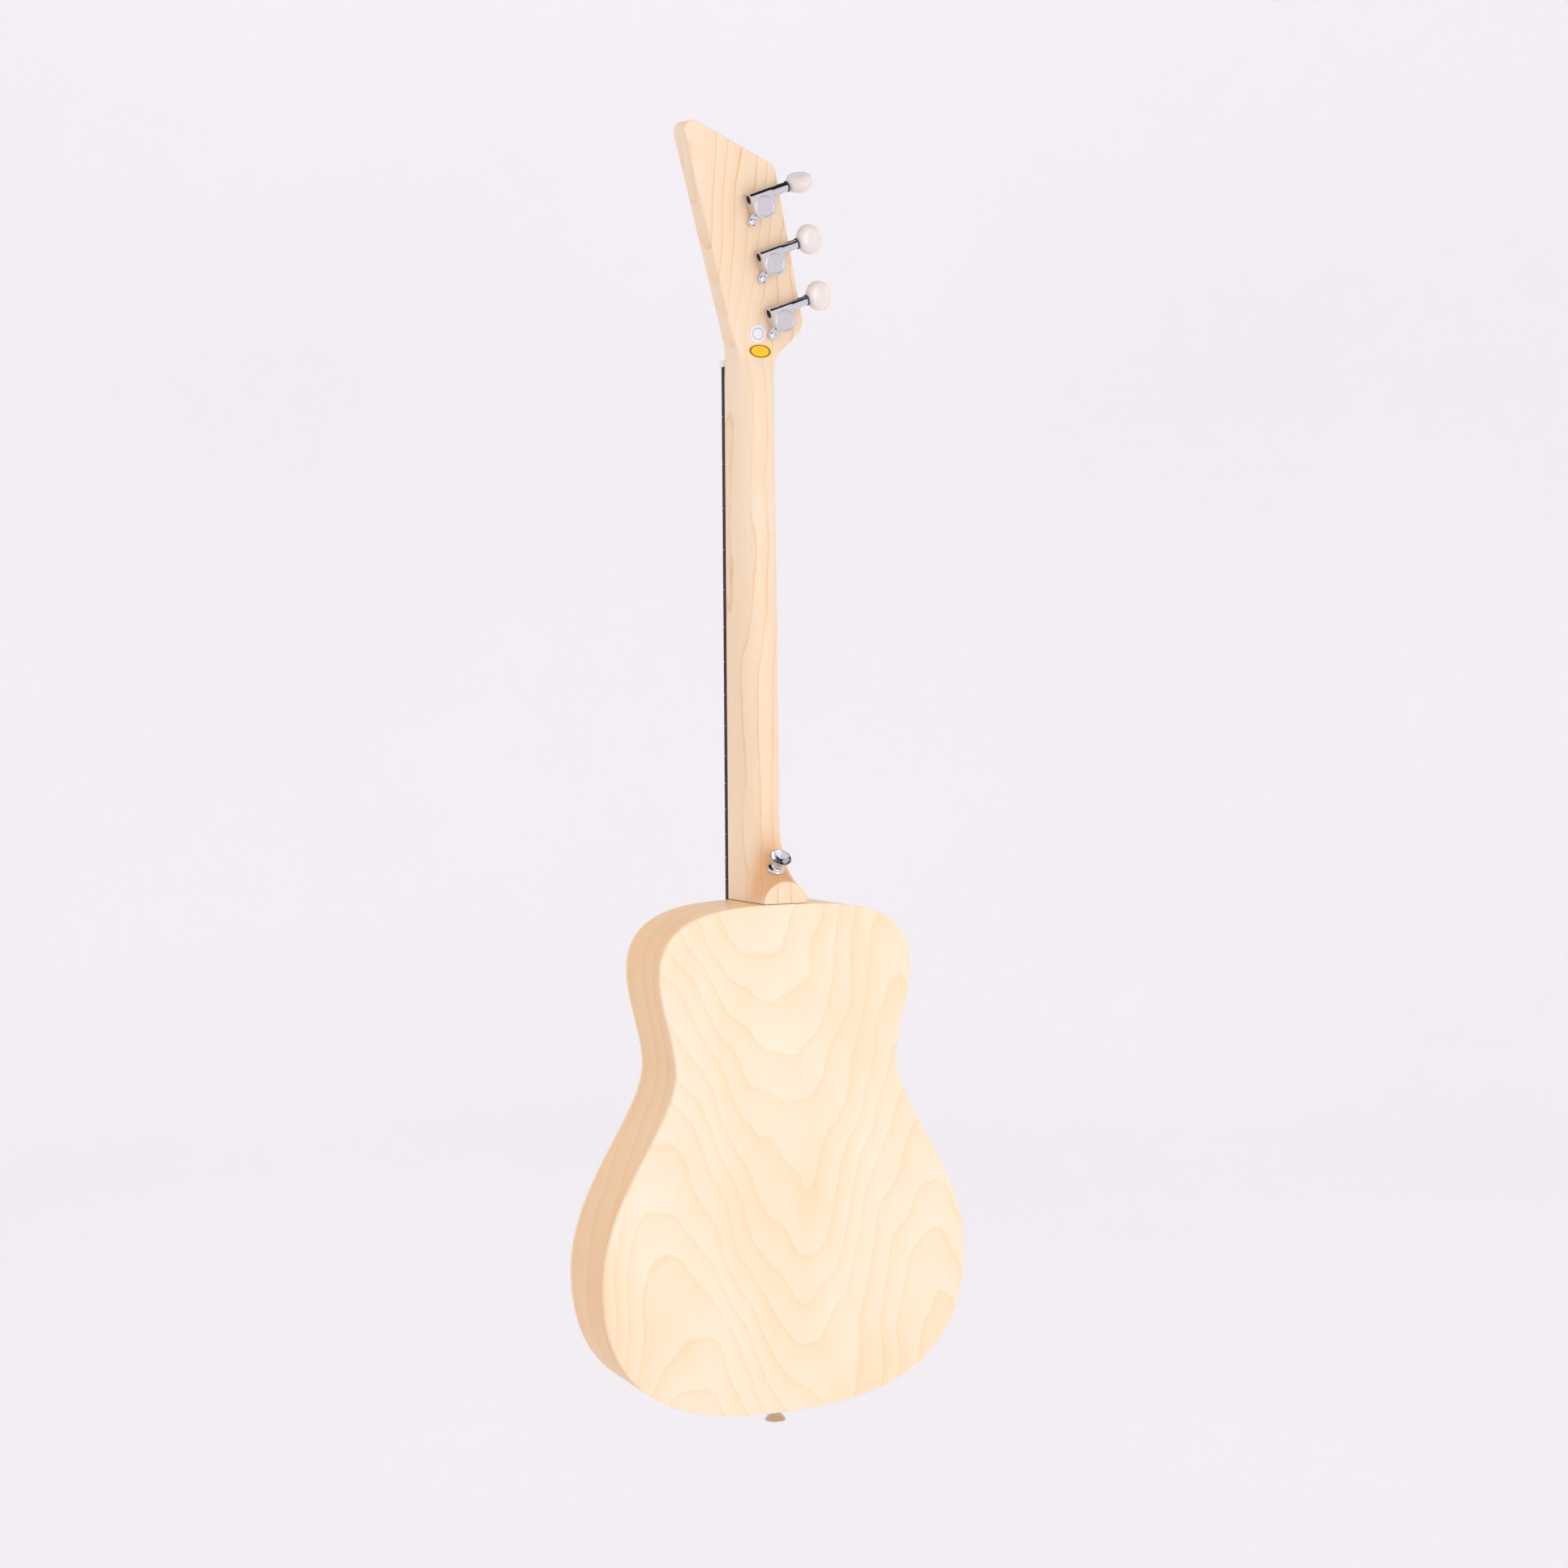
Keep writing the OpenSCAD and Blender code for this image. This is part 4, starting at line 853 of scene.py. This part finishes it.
def make_neck():
    shape = Shape()
    rows = [neck_row(z - HEAD_Z, ridge_y(z)) for z in row_heights()]
    shape.rings(rows)
    shape.cap(rows[0])
    width = len(WALL)
    inner = [i for i, (p, n) in enumerate(zip(HEAD_POINTS, HEAD_NORMALS))
             if p[1] > LOFT_END + 0.4 and abs(p[1] - LOFT_END) > 0.01]
    inner = range(inner[0], inner[-1] + 1)
    path = [(HEAD_POINTS[i], HEAD_NORMALS[i]) for i in inner]
    path = [edge_at(LOFT_END, -1)] + path + [edge_at(LOFT_END, 1)]
    strip = []
    for p, n in path:
        insets = [(p - inset * n, d) for inset, d in WALL]
        strip.append([head_point(q[0], d, q[1]) for q, d in insets])
    shape.rings(strip, closed=False)
    last = rows[-1]
    spots = [circle(*tuner_spot(i), POST_HOLE_R, 48) for i in (1, 2, 3)]
    cos, sin = math.cos(HEAD_TILT), math.sin(HEAD_TILT)
    front_row = last[2 * width + BACK_STEPS - 1:]
    back_row = last[width:width + BACK_STEPS - 1]
    for d, inset, row in ((0.0, FRONT_R, front_row), (HEAD_T, BACK_R, back_row)):
        loop = [p - inset * n for p, n in path]
        base = [(q[0], (q[1] - d * cos) * sin + (q[2] - HEAD_Z + d * sin) * cos) for q in row]
        flat, faces = fill(loop + (base if d else base[::-1]), spots, 7.0)
        shape.add([head_point(p, d, s) for p, s in flat], faces)
    for spot in spots:
        shape.rings([[head_point(p, d, s) for p, s in spot] for d in (0.0, HEAD_T)])
    neck = piece("neck_carved", shape.points, shape.faces, "neck_wood", replaces=["neck"])
    trim_heel(neck.data)
    dress(neck, "neck_wood")
    return neck


def cap_faces(bm, y):
    return [f for f in bm.faces if abs(f.calc_center_median().y - y) < 1e-6 and len(f.verts) > 20]


def trim_heel(mesh):
    """Cuts the heel off at its cap's flat face and rounds the cut's edge."""
    bm = bmesh.new()
    bm.from_mesh(mesh)
    at = Vector(world((0, HEEL_CAP_Y, 0)))
    geometry = bm.verts[:] + bm.edges[:] + bm.faces[:]
    cut = bmesh.ops.bisect_plane(bm, geom=geometry, plane_co=at, plane_no=(0, 1, 0), clear_outer=True)
    rim = [e for e in cut["geom_cut"] if isinstance(e, bmesh.types.BMEdge)]
    bmesh.ops.holes_fill(bm, edges=rim, sides=0)
    bmesh.ops.recalc_face_normals(bm, faces=bm.faces)
    cap = cap_faces(bm, at.y)
    rim = list({e for f in cap for e in f.edges})
    bmesh.ops.bevel(bm, geom=rim, offset=CAP_EASE * MM, segments=3, profile=0.5, affect="EDGES",
                    clamp_overlap=True)
    cap = cap_faces(bm, at.y)
    if cap:
        bmesh.ops.inset_individual(bm, faces=cap, thickness=0.3 * MM)
    bm.to_mesh(mesh)
    bm.free()


NECK = make_neck()

# ---------------- hardware frames


def unit(vector):
    return np.array(vector, float) / np.linalg.norm(vector)


UP_HEAD = np.array([0, math.sin(HEAD_TILT), math.cos(HEAD_TILT)])
OUT_HEAD = np.array([0, math.cos(HEAD_TILT), -math.sin(HEAD_TILT)])
KNOB_WAY = np.array([-math.cos(SHAFT_SLOPE), 0, 0]) + math.sin(SHAFT_SLOPE) * UP_HEAD
CROSS_WAY = np.array([math.sin(SHAFT_SLOPE), 0, 0]) + math.cos(SHAFT_SLOPE) * UP_HEAD
SHAFT_V = 6.0
SHAFT_H = 5.4
SOFTEN_ABOVE = math.radians(30)
FLATTEN_BELOW = math.radians(0.6)


def tuner_base(i):
    """Centre of tuner i on the headstock's back face."""
    p, s = tuner_spot(i)
    return head_point(p, HEAD_T, s)


def shaft_base(i):
    return tuner_base(i) + SHAFT_V * CROSS_WAY + SHAFT_H * OUT_HEAD


def soften(node, width):
    """A copy of a CAD node with its sharp edges slightly rounded, so that they catch the light."""
    source = frame["nodes"][node]
    mesh = source.data.copy()
    mesh.name = node + "_finished"
    bm = bmesh.new()
    bm.from_mesh(mesh)
    bmesh.ops.remove_doubles(bm, verts=bm.verts, dist=WELD)
    bmesh.ops.dissolve_limit(bm, angle_limit=FLATTEN_BELOW, verts=bm.verts, edges=bm.edges)
    bmesh.ops.recalc_face_normals(bm, faces=bm.faces)
    edges = [e for e in bm.edges if len(e.link_faces) == 2 and e.calc_face_angle() > SOFTEN_ABOVE]
    bmesh.ops.bevel(bm, geom=edges, offset=width * MM, segments=3, profile=0.5, affect="EDGES",
                    clamp_overlap=True)
    bm.to_mesh(mesh)
    bm.free()
    obj = add_object(mesh.name, mesh)
    dress(obj, SLOTS[node])
    weigh(obj)
    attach(obj, source["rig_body"])
    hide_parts(node)
    return obj


def weigh(obj):
    """Keeps flat faces flat in the shading, beside their rounded edges."""
    modifier = obj.modifiers.new("flat faces", "WEIGHTED_NORMAL")
    modifier.keep_sharp = True
    modifier.weight = 100


SLOTS = {part["node"]: part["material_slot"] for part in frame["record"]["subparts"]}

# ---------------- knobs

KNOB_START = 19.4
KNOB_HALF = (4.4, 7.75, 8.75)
KNOB_TURNS = (70, 0, 0)
KNOB_ROUND = 2.2
KNOB_RIM = 5.0
KNOB_STEPS = 28
KNOB_SIDES = 72
COLLAR = ((1.55, 0.1), (2.5, 0.1), (2.9, 0.5), (2.9, 2.6), (3.4, 3.4), (1.6, 3.6))
COLLAR_SIDES = 48


def make_knob(i):
    """Oval button: flat pearly cheeks with a soft rim, on a short collar."""
    shape = Shape()
    rings = []
    middle = shaft_base(i) + (KNOB_START + KNOB_HALF[1]) * KNOB_WAY
    turn = math.radians(KNOB_TURNS[i - 1])
    thick = math.cos(turn) * unit(OUT_HEAD) + math.sin(turn) * CROSS_WAY
    wide = math.cos(turn) * CROSS_WAY - math.sin(turn) * OUT_HEAD
    for k in range(1, KNOB_STEPS):
        a = math.pi * k / KNOB_STEPS
        level = math.cos(a)
        height = KNOB_HALF[0] * math.copysign(abs(level) ** (2 / KNOB_ROUND), level)
        share = (1 - abs(height / KNOB_HALF[0]) ** KNOB_ROUND) ** (1 / KNOB_RIM)
        rings.append([
            middle + height * thick
            + share * (KNOB_HALF[1] * math.cos(b) * KNOB_WAY + KNOB_HALF[2] * math.sin(b) * wide)
            for b in round_angles(KNOB_SIDES)
        ])
    shape.rod(rings)
    collar = []
    for r, at in COLLAR:
        collar.append([
            shaft_base(i) + (KNOB_START + at) * KNOB_WAY
            + r * (math.cos(b) * CROSS_WAY + math.sin(b) * OUT_HEAD)
            for b in round_angles(COLLAR_SIDES)
        ])
    shape.rod(collar)
    return piece(f"knob_button_{i}", shape.points, shape.faces, "knob_plastic", body=f"knob_{i}",
                 replaces=[f"tuner_knob_{i}"], sharp=50)


for tuner in (1, 2, 3):
    make_knob(tuner)

# ---------------- strap buttons

BUTTON_OUTLINE = [
    (1.9, 0), (5.1, 0), (5.1, 1.5), (4.7, 2.1), (3.4, 3.1), (3.2, 4.6), (4.2, 7.2),
    (6.2, 9.7), (6.55, 10.2), (6.45, 10.5), (6.1, 10.5), (2.9, 5.6), (2.9, 4.4), (1.9, 4.4),
]
BUTTON_EASE = 0.3
LATHE_SIDES = 96
HEEL_BUTTON_TILT = math.radians(48)
HEEL_BUTTON_X = 1.5
HEEL_BUTTON_SINK = 0.5


def eased(outline, reach):
    """The same closed outline with each corner cut back and rounded by about reach."""
    points = np.array(outline, float)
    made = []
    for a, b, c in zip(np.roll(points, 1, 0), points, np.roll(points, -1, 0)):
        before, after = a - b, c - b
        lead = min(reach, 0.4 * np.hypot(*before)) * before / np.hypot(*before)
        trail = min(reach, 0.4 * np.hypot(*after)) * after / np.hypot(*after)
        for t in (0, 0.25, 0.5, 0.75, 1):
            made.append(b + lead * (1 - t) ** 2 + trail * t * t)
    return made


def lathe(shape, outline, base, axis):
    """Turns a closed outline of radius and height pairs round an axis."""
    side = unit(np.cross(axis, (1, 0, 0)))
    other = np.cross(axis, side)
    rays = [math.cos(a) * side + math.sin(a) * other for a in round_angles(LATHE_SIDES)]
    rings = [[base + h * axis + r * ray for ray in rays] for r, h in outline]
    shape.rings(rings + [rings[0]])


def make_strap_buttons():
    """One button on the tail, and one square to the heel's sweep."""
    shape = Shape()
    cos, sin = math.cos(HEEL_BUTTON_TILT), math.sin(HEEL_BUTTON_TILT)
    heel_axis = np.array([0, cos, sin])
    heel_at = np.array([HEEL_BUTTON_X, HEEL_DEPTH + SWEEP_R * (1 - cos), SWEEP_Z - SWEEP_R * sin])
    tail_at = np.array([0, BUTTON_DEPTH, 0])
    profile = eased(BUTTON_OUTLINE, BUTTON_EASE)
    lathe(shape, profile, tail_at, np.array([0, 0, -1.0]))
    lathe(shape, profile, heel_at - HEEL_BUTTON_SINK * heel_axis, heel_axis)
    return piece("turned_strap_buttons", shape.points, shape.faces, "chrome",
                 replaces=["strap_buttons"], sharp=60)


make_strap_buttons()

# ---------------- frets and strings

FRET_COUNT = 18
SCALE_LENGTH = 525.0
BOARD_T = 4.5
FRET_H = 1.0


def fret_z(n):
    return NUT_Z - SCALE_LENGTH * (1 - 2 ** (-n / 12))


def make_frets():
    """Crowned wires whose ends are filed back at a slope, with their tangs in the board."""
    shape = Shape()
    crown = [(FRET_H * math.cos(a), FRET_H * math.sin(a)) for a in np.linspace(0, math.pi, 15)]
    for n in range(1, FRET_COUNT + 1):
        rings = []
        for x, lift in ((-13.95, 0.25), (-13.4, 0.8), (-13.0, 1.0), (13.0, 1.0), (13.4, 0.8), (13.95, 0.25)):
            row = [(x, -BOARD_T - lift * h, fret_z(n) + w) for w, h in crown]
            row += [(x, -BOARD_T, fret_z(n) - 0.25), (x, -BOARD_T + 1.5, fret_z(n) - 0.25),
                    (x, -BOARD_T + 1.5, fret_z(n) + 0.25), (x, -BOARD_T, fret_z(n) + 0.25)]
            rings.append(row)
        shape.rod(rings)
    return piece("fret_wires", shape.points, shape.faces, "fret_steel", replaces=["frets"], sharp=40)


make_frets()

STRING_R = (0.17, 0.23, 0.34)
WINDING_R = 2.62
WINDING_TURNS = 3.7
WINDING_STEPS = 40
WIRE_SIDES = 8
STRING_END_H = 6.6


def make_winding(i):
    """Turns of wire coiled round the post's waist."""
    r = STRING_R[i - 1]
    side, other = CROSS_WAY, KNOB_WAY
    base = tuner_base(i) - HEAD_T * OUT_HEAD
    rings = []
    for k in range(int(WINDING_TURNS * WINDING_STEPS) + 1):
        a = 2 * math.pi * k / WINDING_STEPS
        rise = STRING_END_H + 2 * r + 0.06 + k / WINDING_STEPS * 2.04 * r
        ray = math.cos(a) * side + math.sin(a) * other
        rings.append([
            base + (WINDING_R + r + r * math.cos(b)) * ray - (rise + r * math.sin(b)) * OUT_HEAD
            for b in round_angles(WIRE_SIDES)
        ])
    shape = Shape()
    shape.rod(rings)
    slot = SLOTS[f"string_winding_{i}"]
    return piece(f"string_coil_{i}", shape.points, shape.faces, slot, body=f"post_{i}",
                 replaces=[f"string_winding_{i}"])


for tuner in (1, 2, 3):
    make_winding(tuner)

# ---------------- labels

ROUND_LABEL_AT = (0.6, 16.0)
ROUND_LABEL_HALF = (5, 5)
OVAL_LABEL_AT = (-1.0, 6.0)
OVAL_LABEL_HALF = (7.5, 4)
LABEL_STEPS = 12
LABEL_SIDES = 72
LABEL_MIDDLE = 0.004
LABEL_LIFT = 0.04
LABEL_T = 0.11


def make_label(name, at, half, slot, node):
    """A thin printed label laid on the carved back of the headstock."""
    tree = BVHTree.FromObject(NECK, bpy.context.evaluated_depsgraph_get())
    rings = []
    for k in range(LABEL_STEPS + 1):
        share = max(k / LABEL_STEPS, LABEL_MIDDLE)
        ring = []
        for b in round_angles(LABEL_SIDES):
            across = at[0] + share * half[0] * math.cos(b)
            start = head_point(across, 2 * HEAD_T, at[1] + share * half[1] * math.sin(b))
            found = tree.ray_cast(Vector(world(start)), Vector(-OUT_HEAD))[0]
            ring.append(np.array(found) / MM + (0, BUTTON_DEPTH, 0))
        rings.append(ring)
    low = [[p + LABEL_LIFT * OUT_HEAD for p in ring] for ring in rings]
    high = [[p + LABEL_T * OUT_HEAD for p in ring] for ring in rings]
    shape = Shape()
    shape.cap(high[0])
    shape.rings(high + low[::-1])
    shape.cap(low[0])
    return piece(name, shape.points, shape.faces, slot, replaces=[node], sharp=50)


def ringed_paper(name, paper, shade, ink, at, half, ring_at, ring_half):
    """Coated paper with one plain ring and no lettering, drawn round the label's middle."""
    graph = Graph(name)
    centre = world(head_point(at[0], HEAD_T, at[1])) / MM
    place = graph.vector("SUBTRACT", graph.places(), tuple(centre))
    across = graph.math("DIVIDE", graph.vector("DOT_PRODUCT", place, (1.0, 0.0, 0.0)), half[0])
    along = graph.math("DIVIDE", graph.vector("DOT_PRODUCT", place, tuple(UP_HEAD)), half[1])
    radius = graph.hypot(across, along)
    off = graph.math("ABSOLUTE", graph.math("SUBTRACT", radius, ring_at))
    ring = graph.map(off, ring_half, ring_half + 0.03, 1.0, 0.0)
    grain = graph.noise(graph.places(), 0.3, 3, 0.6)
    base = graph.mix(graph.map(grain, 0.3, 0.7), paper, shade)
    return graph.set(Base_Color=graph.mix(ring, base, ink), Roughness=graph.map(grain, 0.3, 0.7, 0.36, 0.5),
                     Normal=graph.bump(grain, 0.004, 0.3))


MATERIALS["white_label"] = ringed_paper("white_label", colour(247, 246, 250), colour(238, 238, 243),
                                        colour(150, 152, 160), ROUND_LABEL_AT, ROUND_LABEL_HALF, 0.66, 0.02)
MATERIALS["yellow_label"] = ringed_paper("yellow_label", colour(255, 208, 0), colour(252, 198, 0),
                                         colour(70, 34, 6), OVAL_LABEL_AT, OVAL_LABEL_HALF, 0.84, 0.04)
make_label("round_paper_label", ROUND_LABEL_AT, ROUND_LABEL_HALF, "white_label", "inspection_sticker")
make_label("oval_paper_label", OVAL_LABEL_AT, OVAL_LABEL_HALF, "yellow_label", "origin_sticker")

# ---------------- carried-over nodes

# How far each fitting's edges are rounded
EASED = {
    "fingerboard": 0.25, "nut": 0.35, "bridge": 0.6, "bridge_pins": 0.15, "tuner_covers": 0.12,
    "post_washers": 0.15, "post_bushings": 0.2, "shaft_washers": 0.1, "tuner_screws": 0.1,
    "strap_screws": 0.12,
}
for softened, width in EASED.items():
    soften(softened, width)
for tuner in (1, 2, 3):
    soften(f"tuner_housing_{tuner}", 0.35)
    soften(f"string_post_{tuner}", 0.15)
    soften(f"knob_screw_{tuner}", 0.08)
# The worm shafts take the near-black steel as painted shade in the tuner holes
SPECIAL = {"rosette": "rosette", **{f"worm_shaft_{i}": "painted_shade_steel" for i in (1, 2, 3)}}
for name, node in frame["nodes"].items():
    node.data.materials.clear()
    node.data.materials.append(MATERIALS[SPECIAL.get(name, SLOTS[name])])

# ---------------- stage and light

FLOOR_Z = -0.3
FLOOR_FLAT = 2.6
FLOOR_RISE = 3.0
FLOOR_CURVE_R = 1.4
FLOOR_SIDES = 96


def studio_paper():
    graph = Graph("studio_paper")
    place = graph.places()
    mottle = graph.noise(place, 900, 3, 0.5)
    fine = graph.noise(place, 3, 3, 0.6)
    base = graph.mix(graph.map(mottle, 0.3, 0.7), (0.93, 0.915, 0.93, 1), (0.915, 0.9, 0.915, 1))
    return graph.set(Base_Color=base, Roughness=graph.map(fine, 0.3, 0.7, 0.8, 0.95),
                     Normal=graph.bump(fine, 0.1, 0.2))


def make_floor():
    """A wide pale floor that curves up all round, far from the guitar, and is open at the top."""
    profile = [(r, 0.0) for r in (0.01, 0.8, 1.7, FLOOR_FLAT)]
    for a in np.linspace(0, math.pi / 2, 14)[1:]:
        profile.append((FLOOR_FLAT + FLOOR_CURVE_R * math.sin(a), FLOOR_CURVE_R * (1 - math.cos(a))))
    profile += [(FLOOR_FLAT + FLOOR_CURVE_R, h) for h in (2.1, FLOOR_RISE)]
    turns = round_angles(FLOOR_SIDES)
    points = [(r * math.cos(a), r * math.sin(a), FLOOR_Z + h) for r, h in profile for a in turns]
    mesh = bpy.data.meshes.new("studio_floor")
    mesh.from_pydata(points, [], bands(FLOOR_SIDES, len(profile)) + [tuple(range(FLOOR_SIDES))])
    mesh.materials.append(studio_paper())
    floor = add_object("studio_floor", mesh)
    mesh.shade_smooth()
    tidy(mesh)


def make_light(name, at, target, size, power):
    data = bpy.data.lights.new(name, "AREA")
    data.shape = "RECTANGLE"
    data.size, data.size_y = size
    data.energy = power
    light = add_object(name, data)
    way = (Vector(at) - Vector(target)).normalized()
    light.visible_camera = False
    light.matrix_world = Matrix.Translation(at) @ way.to_track_quat("Z", "Y").to_matrix().to_4x4()


def make_air():
    """Almost even light from all round; mirrors see the ceiling dark, as in a dim room."""
    air = bpy.data.worlds.new("studio_air")
    air.use_nodes = True
    tree = air.node_tree
    background = tree.nodes["Background"]
    background.inputs["Color"].default_value = AIR_TINT
    parts = tree.nodes.new("ShaderNodeSeparateXYZ")
    tree.links.new(tree.nodes.new("ShaderNodeTexCoord").outputs["Generated"], parts.inputs[0])
    falls = []
    for values in (AIR_DIFFUSE, AIR_MIRRORED):
        fall = tree.nodes.new("ShaderNodeMapRange")
        fall.interpolation_type = "SMOOTHSTEP"
        for index, value in enumerate(values):
            fall.inputs[index + 1].default_value = value
        tree.links.new(parts.outputs["Z"], fall.inputs[0])
        falls.append(fall.outputs[0])
    choice = tree.nodes.new("ShaderNodeMix")
    tree.links.new(tree.nodes.new("ShaderNodeLightPath").outputs["Is Glossy Ray"], choice.inputs[0])
    tree.links.new(falls[0], choice.inputs[2])
    tree.links.new(falls[1], choice.inputs[3])
    tree.links.new(choice.outputs[0], background.inputs["Strength"])
    scene.world = air


# Sine of elevation where the fall begins and ends, and the strength below and above it
AIR_DIFFUSE = (0.35, 0.9, 1.1, 1.05)
AIR_MIRRORED = (0.3, 0.62, 1.35, 0.02)
AIR_TINT = (0.97, 0.955, 0.975, 1)
# Name, place, what it points at, size in metres and power
LIGHTS = (
    ("key", (-0.6, 3.4, 0.3), (0, 0.02, 0.3), (1.4, 1.1), 17),
    ("overhead", (-0.9, -2.4, 2.7), (-0.9, -2.7, -0.3), (2.6, 2.0), 2),
    ("bounce", (-0.1, 0.9, -0.28), (0, 0.05, 0.3), (1.4, 1.0), 0.8),
)


def light_studio():
    """A soft key behind the camera, a faint one over the floor beyond, and a weak panel below the back."""
    make_air()
    for light in LIGHTS:
        make_light(*light)
    scene.view_settings.view_transform = "Standard"


make_floor()
light_studio()

bpy.context.view_layer.update()
